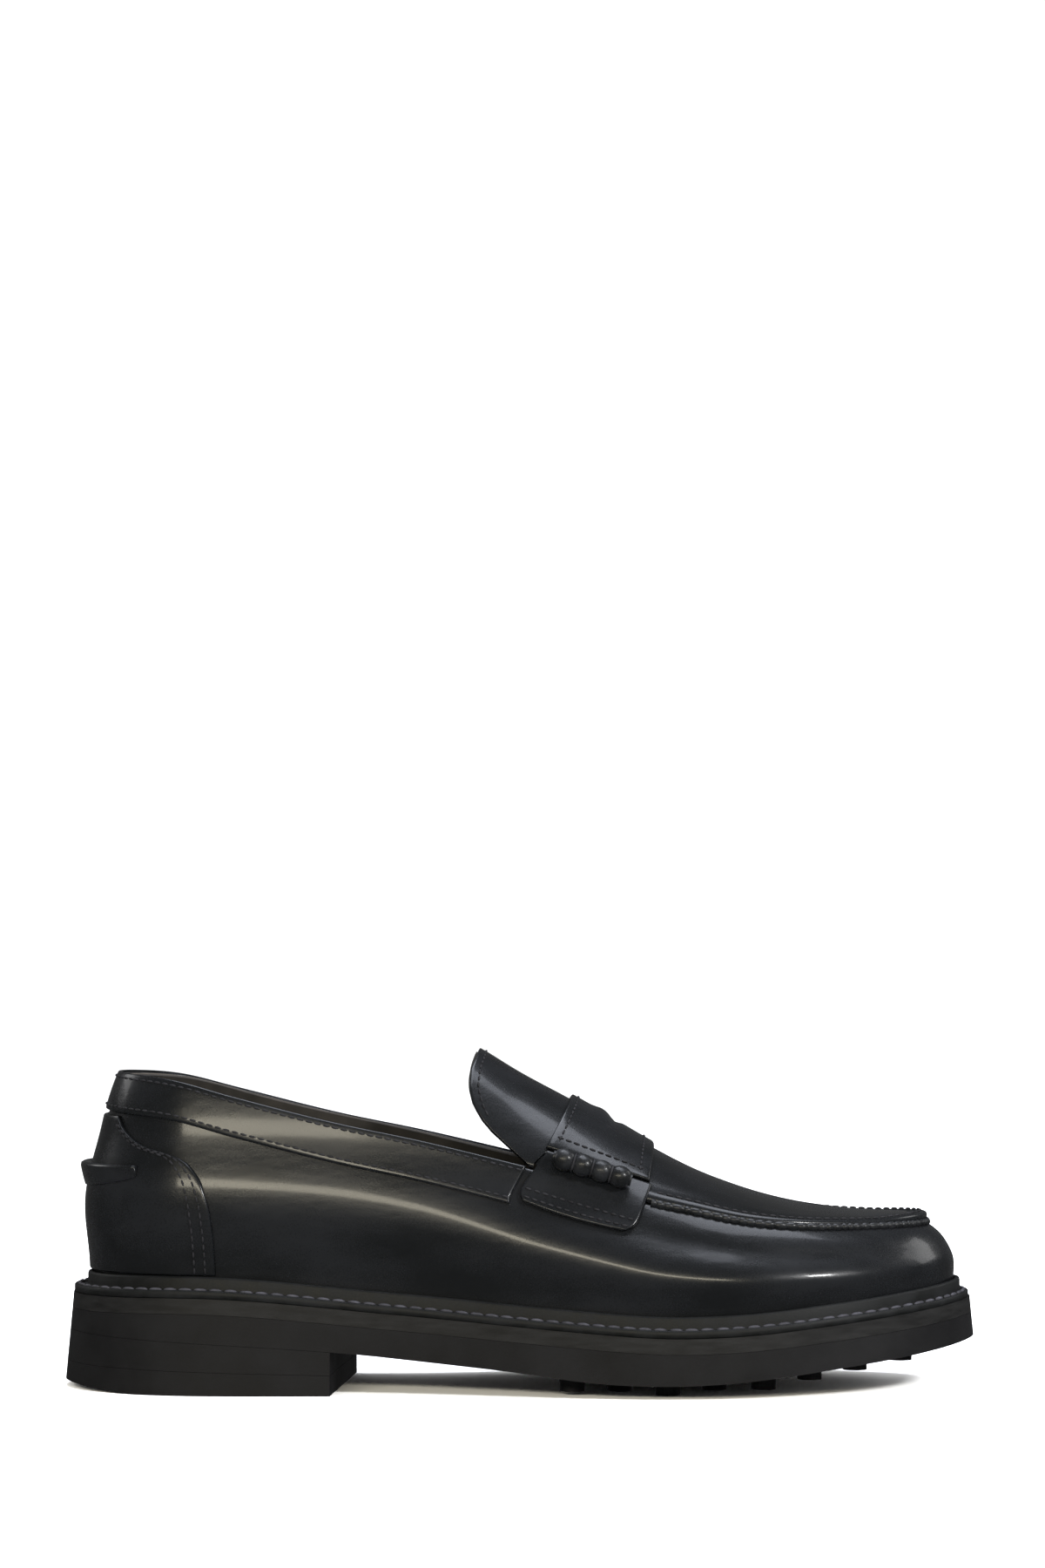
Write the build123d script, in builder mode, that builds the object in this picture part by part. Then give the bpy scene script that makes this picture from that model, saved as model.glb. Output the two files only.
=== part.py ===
"""Right-foot penny loafer on a studded rubber sole, as separate pieces in millimetres.

+X points to the toe, +Y to the inner (medial) side of the foot and +Z up. The origin is on the ground
under the middle of the sole. The upper is laid out as a last would be: a feather line seen from above,
a ridge line seen from the side, and between them wall sections that are super-ellipses. Every piece of
the upper is a layer of that surface, so each is given by the two offsets of its faces.
"""

import os
from bisect import bisect_right
from math import hypot, pi, sin

from build123d import *

os.makedirs("parts", exist_ok=True)

# Overall sizes
shoe_length = 300.0
ball_width = 97.0  # of the upper at its feather line, across the ball of the foot
heel_overhang = 9.5  # sole behind the upper
toe_overhang = 6.5  # sole in front of the upper

# Sole
ground_gap = 4.6  # lowest point of the outsole's underside, which the studs fill
welt_thickness = 2.7
bead_height = 4.2  # storm bead standing against the upper
bead_thickness = 1.7
midsole_thickness = 5.0
heel_breast_x = -61.0
heel_breast_skew = 6.0  # how much further forward the breast is on the inner side
heel_bevel = 2.3  # rise of the heel's rear edge
stud_diameter = 8.0
stud_pitch = 15.5
stud_inset = 10.0
thread_diameter = 1.3
thread_inset = 1.6  # from the edge of the welt
groove_depth = 0.6

# Bottom stock inside the shoe
rib_height = 4.0
rib_thickness = 2.0
insole_thickness = 3.0
foam_thickness = 2.5
sock_thickness = 1.2
shank_width = 13.0
shank_thickness = 1.5
nail_diameter = 2.2
nail_head = 4.4
nail_head_thickness = 1.0

# Leathers and stiffeners of the upper
leather = 1.8
stiffener = 0.9
lining = 1.1
overlay = 1.3
gap = 0.15  # between layers that are glued or sewn together
glue = 0.1  # between the layers of the sole
fit = 0.3  # beside pieces that meet edge to edge

# Penny saddle
strap_thickness = 1.5
saddle_rest = 0.5  # between the saddle and the leather under it
roll_radius = 3.4
roll_neck = 2.1
slot_width = 1.2
slot_length = 32.0
roll_bulges = 4
roll_thread = 0.8

# Collar and heel
collar_depth = 13.2
tab_lip = 2.9  # how far the heel tab's folded lip stands out

upper_back = -shoe_length / 2 + heel_overhang
upper_tip = shoe_length / 2 - toe_overhang
upper_length = upper_tip - upper_back


pattern_back, pattern_length = -140.5, 284.0  # the size that the side patterns below are drawn in


def along(share):
    """X at a share of the upper's length, from the back of the heel."""
    return upper_back + share * upper_length


def graded(*points):
    """Points seen from the side, as X and height, graded from the pattern's length to the shoe's."""
    return [(along((x - pattern_back) / pattern_length), z) for x, z in points]


def graded_x(x):
    return graded((x, 0))[0][0]


class Curve:
    """A height or breadth read along X, as a smooth curve through its points."""

    def __init__(self, *points):
        self.xs = [p[0] for p in points]
        self.ys = [p[1] for p in points]
        rise = [(self.ys[i + 1] - self.ys[i]) / (self.xs[i + 1] - self.xs[i]) for i in range(len(points) - 1)]
        middle = [(a + b) / 2 for a, b in zip(rise, rise[1:])]
        self.slopes = [rise[0], *middle, rise[-1]]

    def __call__(self, x):
        if x <= self.xs[0]:
            return self.ys[0] + self.slopes[0] * (x - self.xs[0])
        if x >= self.xs[-1]:
            return self.ys[-1] + self.slopes[-1] * (x - self.xs[-1])
        i = bisect_right(self.xs, x) - 1
        span = self.xs[i + 1] - self.xs[i]
        t = (x - self.xs[i]) / span
        start, end = self.ys[i], self.ys[i + 1]
        lead, trail = self.slopes[i] * span, self.slopes[i + 1] * span
        return (
            start
            + lead * t
            + (3 * (end - start) - 2 * lead - trail) * t**2
            + (2 * (start - end) + lead + trail) * t**3
        )


def raised(curve, by):
    """The same curve, higher by a constant."""
    return lambda x: curve(x) + by


# Feather line from above: shares of the upper's length and of the ball width, heel back to toe tip
outer_side = [
    (0.0, 0.0),
    (0.022, -0.172),
    (0.08, -0.288),
    (0.16, -0.335),
    (0.285, -0.348),
    (0.42, -0.383),
    (0.54, -0.452),
    (0.66, -0.503),
    (0.775, -0.491),
    (0.875, -0.405),
    (0.95, -0.262),
    (0.988, -0.112),
    (1.0, 0.035),
]
inner_side = [
    (0.022, 0.172),
    (0.08, 0.287),
    (0.165, 0.328),
    (0.29, 0.313),
    (0.42, 0.340),
    (0.54, 0.423),
    (0.65, 0.483),
    (0.76, 0.477),
    (0.865, 0.408),
    (0.945, 0.290),
    (0.988, 0.160),
]
ring = [(along(a), b * ball_width) for a, b in outer_side + inner_side[::-1]]
tip_index = len(outer_side) - 1

# Heights seen from the side
welt_top = Curve(
    (along(0), 33.6), (along(0.15), 33.8), (along(0.335), 29.5), (along(0.58), 23.8),
    (along(0.665), 22.5), (along(0.755), 23.4), (along(0.845), 26.0), (along(0.92), 28.4), (along(1), 31.2),
)  # fmt: skip
outsole_bottom = Curve(
    (-shoe_length / 2, 19.1), (heel_breast_x, 14.2), (along(0.41), 10.6), (along(0.52), 7.4),
    (along(0.56), 5.8), (along(0.64), ground_gap), (along(0.70), 4.9), (along(0.76), 6.2),
    (along(0.845), 9.2), (along(0.97), 13.9), (shoe_length / 2, 16.4),
)  # fmt: skip
lift_bottom = Curve((-shoe_length / 2, 8.8), (heel_breast_x, 6.7))
ridge_height = Curve(
    (along(0.14), 125), (along(0.285), 125), (along(0.385), 119.5), (along(0.448), 111.0),
    (along(0.495), 103.0), (along(0.565), 92.3), (along(0.653), 77.5), (along(0.698), 71.0),
    (along(0.737), 66.6), (along(0.777), 62.9), (along(0.817), 60.2), (along(0.858), 58.4), (along(0.89), 57.3),
)  # fmt: skip
edge_height = Curve(
    (along(0.03), 103.2), (along(0.097), 101.2), (along(0.165), 96.2), (along(0.281), 88.0),
    (along(0.384), 81.9), (along(0.498), 74.0), (along(0.565), 69.0), (along(0.639), 62.5),
    (along(0.694), 59.2), (along(0.752), 56.0), (along(0.811), 54.3), (along(0.87), 53.6),
    (along(0.933), 53.4), (along(0.98), 53.2),
)  # fmt: skip
ridge_reach = Curve(
    (along(0), along(0.143)), (along(0.072), along(0.15)), (along(0.18), along(0.2)), (along(0.285), along(0.287)),
    (along(0.36), along(0.36)), (along(0.6), along(0.6)), (along(0.67), along(0.668)), (along(0.776), along(0.758)),
    (along(0.88), along(0.835)), (along(0.95), along(0.877)), (along(1), along(0.889)),
)  # fmt: skip
squareness = Curve(
    (along(0), 2.5), (along(0.285), 2.5), (along(0.385), 2.3), (along(0.495), 2.05),
    (along(0.64), 2.05), (along(0.7), 2.3), (along(0.81), 2.8), (along(0.9), 2.7), (along(1), 2.6),
)  # fmt: skip
bulge = Curve((along(0), 2.2), (along(0.3), 2.6), (along(0.65), 3.2), (along(0.85), 2.2), (along(1), 0.4))
feather_height = raised(welt_top, bead_height)
bulge_top = 0.55  # share of the wall's height that bulges

# The saddle's edges and the tongue's rim, seen from the side
saddle_back = graded((20.5, 99.0), (9.4, 80.8), (5.0, 78.0), (-2.8, 64.0))
saddle_front = graded((45.6, 84.0), (42.6, 70.0), (34.6, 52.6))
saddle_line = graded((8.3, 79.0), (46.0, 66.6))  # where the strap ends and the tabs begin
tongue_rim = graded(
    (-12.5, 113.0), (-16.0, 105.0), (-16.7, 99.5), (-15.3, 94.0), (-11.3, 87.3), (-3.3, 80.0), (3.0, 74.5)
)  # fmt: skip
flap_front = graded((4.6, 74.9), (6.5, 77.0), (9.1, 78.2), (10.1, 80.8), (18.6, 94.6))  # where the tongue hinges
high_above = 130.0  # over everything, for blocks that cut


def ring_point(p, reach=0.0):
    """A point of the feather line, moved outwards by reach; p runs from 0 at the heel back through
    tip_index at the toe to len(ring)."""
    count = len(ring)
    i = int(p // 1)
    t = p - i
    a, b, c, d = (ring[(i + k) % count] for k in (-1, 0, 1, 2))
    point, slope = [], []
    for k in (0, 1):
        lead, trail = (c[k] - a[k]) / 2, (d[k] - b[k]) / 2
        square, cube = 3 * (c[k] - b[k]) - 2 * lead - trail, 2 * (b[k] - c[k]) + lead + trail
        point.append(b[k] + lead * t + square * t**2 + cube * t**3)
        slope.append(lead + 2 * square * t + 3 * cube * t**2)
    size = hypot(*slope)
    out = (slope[1] / size, -slope[0] / size)
    far = reach(point[0]) if callable(reach) else reach
    return (point[0] + out[0] * far, point[1] + out[1] * far)


class Section:
    """The wall's section over one place of the feather line, in an upright plane towards the ridge."""

    def __init__(self, p):
        self.foot = ring_point(p)
        x = self.foot[0]
        top = (ridge_reach(x), 0.0)
        self.span = hypot(top[0] - self.foot[0], top[1] - self.foot[1])
        self.inward = ((top[0] - self.foot[0]) / self.span, (top[1] - self.foot[1]) / self.span)
        self.low = feather_height(x)
        self.rise = ridge_height(top[0]) - self.low
        self.power = squareness(x)
        self.swell = bulge(x)

    def at(self, high, off, wide=None):
        """(inward, z) at a share of the height, or of the width from the ridge, moved out by off."""
        if wide is None:
            wide = max(0.0, 1 - high**self.power) ** (1 / self.power)
        else:
            high = max(0.0, 1 - wide**self.power) ** (1 / self.power)
        swell = self.swell * sin(pi * high / bulge_top) ** 2 if high < bulge_top else 0.0
        out, up = wide ** (self.power - 1) / self.span, high ** (self.power - 1) / self.rise
        size = hypot(out, up)
        return (
            self.span * (1 - wide) - swell - off * out / size,
            self.low + self.rise * high + off * up / size,
        )

    def share_at(self, height):
        """Share of the height where the wall reaches a curve of heights read along X."""
        low, high = 0.0, 1.0
        for _ in range(40):
            middle = (low + high) / 2
            inward, z = self.at(middle, 0.0)
            if z < height(self.foot[0] + self.inward[0] * inward):
                low = middle
            else:
                high = middle
        return low

    def plane(self):
        return Plane(
            origin=(self.foot[0], self.foot[1], 0),
            x_dir=(self.inward[0], self.inward[1], 0),
            z_dir=(self.inward[1], -self.inward[0], 0),
        )


def place_at(x, side):
    """Place on the feather line with this X; side is -1 for the outer side and 1 for the inner."""
    low, high = (0.0, float(tip_index)) if side < 0 else (float(tip_index), float(len(ring)))
    for _ in range(50):
        middle = (low + high) / 2
        if (ring_point(middle)[0] < x) == (side < 0):
            low = middle
        else:
            high = middle
    return low


def shares(low, high, count):
    return [low + (high - low) * i / (count - 1) for i in range(count)]


def heel_places(front_x):
    """Places from front_x on the outer side, round the heel, to front_x on the inner side."""
    outer = place_at(front_x, -1)
    inner = place_at(front_x, 1) - len(ring)
    count = 2 * max(4, round(outer)) + 5
    return shares(outer, inner, count)


lateral_places = shares(0, tip_index, 17)
medial_places = shares(tip_index, len(ring), 17)


def wall_section(section, bottom, top, inner, outer, drop=0.0):
    """Closed outline of a wall layer, from share bottom to share top, and drop further down if asked."""
    levels = shares(bottom, top, 8)
    outside = [section.at(v, outer) for v in levels]
    inside = [section.at(v, inner) for v in levels]
    with BuildSketch(section.plane()) as sketch:
        with BuildLine():
            Spline(*outside)
            Line(outside[-1], inside[-1])
            Spline(*inside[::-1])
            if drop:
                below = section.low - drop
                Polyline(inside[0], (inside[0][0], below), (outside[0][0], below), outside[0])
            else:
                Line(inside[0], outside[0])
        make_face()
    return sketch.sketch


def wall_layer(places, bottom, top, inner, outer, drop=0.0):
    """A layer of the wall lofted through its sections at the given places."""
    with BuildPart() as layer:
        for p in places:
            section = Section(p)
            add(wall_section(section, bottom(section), top(section), inner, outer, drop))
        loft()
    return layer.part


def edge_share(section):
    return section.share_at(edge_height)


def arch_section(x, inner, outer, low=0.0):
    """Closed outline of an arch over the ridge at X, in a plane across the shoe; low is the share of the
    height at its feet."""
    sides = [Section(place_at(x, side)) for side in (-1, 1)]
    wides = [(1 - low**s.power) ** (1 / s.power) for s in sides]

    def row(off):
        found = []
        for s, wide, side in zip(sides, wides, (-1, 1)):
            half = [s.at(None, off, w) for w in shares(wide, 0.0, 9)]
            half = [(side * (s.span - inward), z) for inward, z in half]
            found += half if side < 0 else half[-2::-1]
        return found

    outside, inside = row(outer), row(inner)
    with BuildSketch(Plane(origin=(x, 0, 0), x_dir=(0, 1, 0), z_dir=(1, 0, 0))) as sketch:
        with BuildLine():
            Spline(*outside)
            Line(outside[-1], inside[-1])
            Spline(*inside[::-1])
            Line(inside[0], outside[0])
        make_face()
    return sketch.sketch


def arch_layer(xs, inner, outer, low):
    with BuildPart() as layer:
        for x in xs:
            add(arch_section(x, inner, outer, low(x) if callable(low) else low))
        loft()
    return layer.part


def side_prism(*edges, half_width=80.0):
    """Block whose outline is seen from the side; each edge is a list of (x, z), joined in turn."""
    with BuildPart() as block:
        with BuildSketch(Plane.XZ):
            with BuildLine():
                for edge in edges:
                    if len(edge) > 2:
                        Spline(*edge)
                    else:
                        Line(*edge)
                for this, following in zip(edges, (*edges[1:], edges[0])):
                    if this[-1] != following[0]:
                        Line(this[-1], following[0])
            make_face()
        extrude(amount=half_width, both=True)
    return block.part


def band(low, high, back=-shoe_length / 2 - 5, front=shoe_length / 2 + 5, count=25):
    """Slice between two curves of heights, for cutting the layers of the sole."""
    xs = shares(back, front, count)
    return side_prism([(x, low(x)) for x in xs], [(x, high(x)) for x in xs[::-1]])


def plan_prism(reach, low=-10.0, high=70.0):
    """Block whose outline is the feather line moved outwards by reach."""
    with BuildPart() as block:
        with BuildSketch(Plane.XY.offset(low)):
            with BuildLine():
                Spline(*[ring_point(p / 2, reach) for p in range(2 * len(ring))], periodic=True)
            make_face()
        extrude(amount=high - low)
    return block.part


def save(part, name):
    part.label = name
    export_step(part, f"parts/{name}.step")


# ---------------------------------------------------------------- sole
sole_reach_top = Curve((along(0), 6.4), (along(0.2), 5.6), (along(0.5), 5.2), (along(0.9), 4.9), (along(1), 4.8))
sole_reach_bottom = Curve(
    (along(0), heel_overhang), (along(0.2), 8.0), (along(0.35), 6.4),
    (along(0.5), 6.2), (along(0.9), 6.6), (along(1), 2 * toe_overhang - 4.8),
)  # fmt: skip
sole_top_z = 34.0

with BuildPart() as sole_blank:
    for height, reach in ((0.0, sole_reach_bottom), (sole_top_z, sole_reach_top)):
        with BuildSketch(Plane.XY.offset(height)):
            with BuildLine():
                Spline(*[ring_point(p / 2, reach) for p in range(2 * len(ring))], periodic=True)
            make_face()
    loft(ruled=True)

midsole_top = raised(welt_top, -welt_thickness)
midsole_bottom = raised(midsole_top, -midsole_thickness)
insole_bottom = raised(midsole_top, rib_height)
insole_top = raised(insole_bottom, insole_thickness)

# Nails hold the heel to the insole; every layer they pass gets the same holes
nail_spots = [(along(0.035 + 0.06), 0.0)] + [
    (along(share), side * breadth) for share, breadth in ((0.13, 15.0), (0.22, 17.0)) for side in (-1, 1)
]
nail_top = insole_top
nail_bottom = raised(lift_bottom, 1.5)


def nail_shafts(radius, head_radius, slack):
    with BuildPart() as shafts:
        for x, y in nail_spots:
            low, high = nail_bottom(x) - slack, nail_top(x) - 0.2
            with Locations((x, y, low)):
                Cylinder(radius, high - low, align=(Align.CENTER, Align.CENTER, Align.MIN))
            with Locations((x, y, high - nail_head_thickness - slack)):
                height = nail_head_thickness + slack + (5.0 if slack else 0.0)
                Cylinder(head_radius, height, align=(Align.CENTER, Align.CENTER, Align.MIN))
    return shafts.part


nails = nail_shafts(nail_diameter / 2, nail_head / 2, 0.0)
nail_holes = nail_shafts(nail_diameter / 2 + gap, nail_head / 2 + gap, fit)

# The heel's breast is a slightly slanted, upright cut
with BuildPart() as heel_zone:
    with BuildSketch(Plane.XY.offset(-5)):
        with BuildLine():
            half = ball_width
            Polyline(
                (-shoe_length, -half),
                (heel_breast_x - heel_breast_skew * half / 70 + heel_breast_skew / 2, -half),
                (heel_breast_x + heel_breast_skew * half / 70 + heel_breast_skew / 2, half),
                (-shoe_length, half),
                close=True,
            )
        make_face()
    extrude(amount=50)

with BuildPart() as heel_top_piece:
    add(sole_blank.part)
    add(heel_zone.part, mode=Mode.INTERSECT)
    bevel_start = -shoe_length / 2 + 24
    add(
        side_prism(
            [(x, lift_bottom(x) - glue) for x in (-shoe_length / 2 - 5, 0)],
            [(0, 0), (bevel_start, 0)],
            [(bevel_start, 0), (-shoe_length / 2, heel_bevel)],
            [(-shoe_length / 2, heel_bevel), (-shoe_length / 2 - 5, heel_bevel + 0.5)],
        ),
        mode=Mode.INTERSECT,
    )
save(heel_top_piece.part, "heel_top_piece")

with BuildPart() as heel_lift:
    add(sole_blank.part)
    add(heel_zone.part, mode=Mode.INTERSECT)
    add(band(lift_bottom, raised(outsole_bottom, -glue), front=0), mode=Mode.INTERSECT)
    add(nail_holes, mode=Mode.SUBTRACT)
save(heel_lift.part, "heel_lift")

with BuildPart() as stud_zone:
    add(plan_prism(sole_reach_top(0) - stud_inset))
    with Locations((along(0.53) + shoe_length / 2, 0, 0)):
        Box(shoe_length, 2 * ball_width, 200, mode=Mode.INTERSECT)

with BuildPart() as studs:
    for row in range(-4, 5):
        for column in range(12):
            x = along(0.5) + (column + 0.5 * (row % 2)) * 2 * stud_pitch
            y = row * stud_pitch * 0.75
            if x > upper_tip or not stud_zone.part.is_inside(Vector(x, y, 0)):
                continue
            low = outsole_bottom(x) - ground_gap
            with Locations((x, y, low)):
                Cylinder(stud_diameter / 2, ground_gap + 2, align=(Align.CENTER, Align.CENTER, Align.MIN))

with BuildPart() as outsole:
    add(sole_blank.part)
    add(band(outsole_bottom, raised(midsole_bottom, -glue)), mode=Mode.INTERSECT)
    add(studs.part)
    add(nail_holes, mode=Mode.SUBTRACT)
save(outsole.part, "outsole")

with BuildPart() as midsole:
    add(sole_blank.part)
    add(band(midsole_bottom, midsole_top), mode=Mode.INTERSECT)
    add(nail_holes, mode=Mode.SUBTRACT)
save(midsole.part, "midsole")

# Storm welt: a flange on the midsole and a bead against the upper, with a groove for the thread
thread_reach = raised(sole_reach_top, -thread_inset)
groove_half = thread_diameter / 2 + gap
with BuildPart() as thread_groove:
    add(plan_prism(raised(thread_reach, groove_half)))
    add(plan_prism(raised(thread_reach, -groove_half)), mode=Mode.SUBTRACT)
    add(band(raised(welt_top, -groove_depth), raised(welt_top, 6)), mode=Mode.INTERSECT)

with BuildPart() as storm_welt:
    add(plan_prism(sole_reach_top))
    add(band(raised(midsole_top, glue), welt_top), mode=Mode.INTERSECT)
    add(thread_groove.part, mode=Mode.SUBTRACT)
    with BuildPart(mode=Mode.PRIVATE) as bead:
        add(plan_prism(fit + bead_thickness))
        add(band(raised(midsole_top, 0.6), feather_height), mode=Mode.INTERSECT)
    add(bead.part)
    add(plan_prism(fit), mode=Mode.SUBTRACT)
save(storm_welt.part, "storm_welt")

with BuildPart() as welt_thread:
    add(plan_prism(raised(thread_reach, thread_diameter / 2)))
    add(plan_prism(raised(thread_reach, -thread_diameter / 2)), mode=Mode.SUBTRACT)
    lift = -groove_depth + gap
    add(band(raised(welt_top, lift), raised(welt_top, lift + thread_diameter)), mode=Mode.INTERSECT)
save(welt_thread.part, "welt_thread")


# ---------------------------------------------------------------- bottom stock
lining_inside = -(leather + gap + stiffener + gap + lining)
insole_reach = lining_inside - fit
rib_reach = insole_reach - fit
cork_reach = rib_reach - rib_thickness - gap

with BuildPart() as insole_board:
    add(plan_prism(insole_reach))
    add(band(raised(insole_bottom, gap), insole_top), mode=Mode.INTERSECT)
    add(nail_holes, mode=Mode.SUBTRACT)
save(insole_board.part, "insole_board")

with BuildPart() as insole_rib:
    add(plan_prism(rib_reach))
    add(plan_prism(rib_reach - rib_thickness), mode=Mode.SUBTRACT)
    add(band(raised(midsole_top, gap), insole_bottom), mode=Mode.INTERSECT)
save(insole_rib.part, "insole_rib")

# The shank bridges the waist in a slot of the filler
shank_back_x, shank_front_x = graded_x(-112.0), graded_x(-8.0)
shank_bottom = raised(midsole_top, 1.2)
shank_side = band(shank_bottom, raised(shank_bottom, shank_thickness), shank_back_x, shank_front_x, 13)
slot_side = band(
    raised(midsole_top, -1), raised(shank_bottom, shank_thickness + gap), shank_back_x - fit, shank_front_x + fit, 13
)


def strip(side, width):
    with BuildPart() as block:
        add(side)
        with Locations(((shank_back_x + shank_front_x) / 2, 0, 0)):
            Box(2 * (shank_front_x - shank_back_x), width, 300, mode=Mode.INTERSECT)
        add(nail_holes, mode=Mode.SUBTRACT)
    return block.part


save(strip(shank_side, shank_width), "shank")

with BuildPart() as cork_filler:
    add(plan_prism(cork_reach))
    add(band(raised(midsole_top, gap), insole_bottom), mode=Mode.INTERSECT)
    with BuildPart(mode=Mode.PRIVATE) as slot:
        add(slot_side)
        with Locations(((shank_back_x + shank_front_x) / 2, 0, 0)):
            Box(2 * (shank_front_x - shank_back_x), shank_width + 2 * fit, 300, mode=Mode.INTERSECT)
    add(slot.part, mode=Mode.SUBTRACT)
    add(nail_holes, mode=Mode.SUBTRACT)
save(cork_filler.part, "cork_filler")
save(nails, "heel_nails")

foam_reach = insole_reach - 4
foam_front = along(0.33)
with BuildPart() as heel_pad:
    add(plan_prism(foam_reach))
    add(band(raised(insole_top, gap), raised(insole_top, gap + foam_thickness), front=foam_front), mode=Mode.INTERSECT)
save(heel_pad.part, "heel_pad")

# The sock rises over the pad at the heel and lies on the insole in front of it
sock_lift = Curve(
    (along(0), foam_thickness + 2 * gap), (along(0.33), foam_thickness + 2 * gap), (along(0.36), 1.2),
    (along(0.39), gap), (along(1), gap),
)  # fmt: skip


def sock_height(extra):
    return lambda x: insole_top(x) + max(gap, sock_lift(x)) + extra


with BuildPart() as sock_liner:
    add(plan_prism(insole_reach - 1))
    add(band(sock_height(0), sock_height(sock_thickness), count=41), mode=Mode.INTERSECT)
save(sock_liner.part, "sock_liner")

# ---------------------------------------------------------------- walls of the upper
wall_drop = bead_height + welt_thickness - fit
leather_faces = (-leather, 0.0)
stiffener_faces = (-leather - gap - stiffener, -leather - gap)
lining_faces = (lining_inside, lining_inside + lining)
overlay_faces = (gap, gap + overlay)


def wall_halves(faces, bottom=0.0, drop=0.0):
    return [wall_layer(places, lambda s: bottom, edge_share, *faces, drop) for places in (lateral_places, medial_places)]


def cut_from(shell, *blocks):
    with BuildPart() as cut:
        add(shell)
        for block in blocks:
            add(block, mode=Mode.INTERSECT)
    return cut.part


def joined(*parts):
    with BuildPart() as whole:
        for part in parts:
            add(part)
    return whole.part


def between(back, front):
    """Block of everything from one X to another."""
    return side_prism([(back, -20), (front, -20)], [(front, 160), (back, 160)])


far_back, far_front = -shoe_length, shoe_length
counter_front, puff_back = along(0.27), along(0.80)
quarter_front = along(0.50)

vamp_wall = joined(*wall_halves(leather_faces, drop=wall_drop))
save(vamp_wall, "vamp_wall")

lateral_stiff, medial_stiff = wall_halves(stiffener_faces, drop=wall_drop)
heel_counter = joined(*(cut_from(half, between(far_back, counter_front)) for half in (lateral_stiff, medial_stiff)))
save(heel_counter, "heel_counter")
toe_puff = joined(*(cut_from(half, between(puff_back, far_front)) for half in (lateral_stiff, medial_stiff)))
save(toe_puff, "toe_puff")
for half, side in ((lateral_stiff, "lateral"), (medial_stiff, "medial")):
    save(cut_from(half, between(counter_front + fit, puff_back - fit)), f"side_stay_{side}")

lining_halves = wall_halves(lining_faces, drop=wall_drop)
save(joined(*(cut_from(half, between(far_back, quarter_front)) for half in lining_halves)), "quarter_lining")
save(joined(*(cut_from(half, between(quarter_front + fit, far_front)) for half in lining_halves)), "vamp_lining")

# Overlays: the counter cover and the collar band, parted by the band's stitched lower edge
overlays = wall_halves(overlay_faces, bottom=0.015)
collar_seam = raised(edge_height, -collar_depth)
cover_front = graded((-98.5, 30.0), (-98.8, 42.0), (-99.9, 55.0), (-101.6, 63.5), (-105.5, 72.0), (-112.0, 77.0))
cover_top = graded((-112.0, 77.0), (-120.0, 79.0), (-128.0, 84.0), (-131.0, 92.0))
behind = -shoe_length
collar_xs = shares(-shoe_length / 2 - 5, saddle_back[1][0] + 3, 19)
collar_zone = side_prism(
    [(x, collar_seam(x) + fit) for x in collar_xs],
    [(collar_xs[-1], high_above), (collar_xs[0], high_above)],
)
saddle_clear = side_prism(
    [(x - fit, z) for x, z in saddle_back[1:]],
    [(saddle_back[-1][0] - fit, 64), (saddle_back[-1][0] - fit, 20)],
    [(saddle_back[-1][0] - fit, 20), (behind, 20)],
    [(behind, 20), (behind, high_above)],
    [(behind, high_above), (saddle_back[1][0] - fit, high_above)],
)
save(joined(*(cut_from(half, collar_zone, saddle_clear) for half in overlays)), "collar_band")

cover_zone = side_prism(
    cover_front,
    cover_top,
    [cover_top[-1], (behind, cover_top[-1][1])],
    [(behind, cover_top[-1][1]), (behind, 30)],
)
below_collar = side_prism(
    [(x, collar_seam(x)) for x in collar_xs],
    [(collar_xs[-1], 20), (collar_xs[0], 20)],
)
save(joined(*(cut_from(half, cover_zone, below_collar) for half in overlays)), "counter_cover")

# Folded heel tab: a lip across the back, fading out to both sides
tab_half = 1.7
tab_low, tab_high = 66.0, 73.4


def tab_section(p):
    section = Section(p)
    fade = (1 - (p / (tab_half + 0.25)) ** 2) ** 0.5
    low, high = (section.share_at(lambda x, z=z: z) for z in (tab_high - fade * (tab_high - tab_low), tab_high))
    rest = gap + overlay + fit
    points = [
        section.at(low, rest),
        section.at(low, rest + 0.5),
        section.at(low + 0.6 * (high - low), rest + 0.6 + 0.7 * tab_lip * fade),
        section.at(high - 0.1 * (high - low), rest + 0.6 + tab_lip * fade),
        section.at(high, rest + 0.4 + 0.7 * tab_lip * fade),
        section.at(high, rest),
    ]
    with BuildSketch(section.plane()) as sketch:
        with BuildLine():
            Polyline(*points, close=True)
        make_face()
    return sketch.sketch


with BuildPart() as heel_tab:
    for p in shares(tab_half, -tab_half, 9):
        add(tab_section(p))
    loft()
save(heel_tab.part, "heel_tab")

# ---------------------------------------------------------------- saddle, tongue and apron
saddle_shell = arch_layer(shares(graded_x(-6), graded_x(49), 9), saddle_rest, saddle_rest + strap_thickness, 0.22)
strap_zone = side_prism(
    [saddle_line[0], saddle_line[1]],
    [saddle_line[1], saddle_front[0]],
    [saddle_front[0], (saddle_line[1][0], high_above)],
    [(saddle_line[1][0], high_above), (saddle_back[0][0], high_above)],
    [(saddle_back[0][0], high_above), saddle_back[0]],
    saddle_back[:2],
)
slot_foot, slot_head = graded((29.0, 79.0), (33.0, 110.0))
penny_slot = side_prism(
    [slot_foot, (slot_foot[0] + slot_width, slot_foot[1])],
    [(slot_foot[0] + slot_width, slot_foot[1]), (slot_head[0] + slot_width, slot_head[1])],
    [(slot_head[0] + slot_width, slot_head[1]), slot_head],
    half_width=slot_length / 2,
)
with BuildPart() as saddle_strap:
    add(saddle_shell)
    add(strap_zone, mode=Mode.INTERSECT)
    add(penny_slot, mode=Mode.SUBTRACT)
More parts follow.
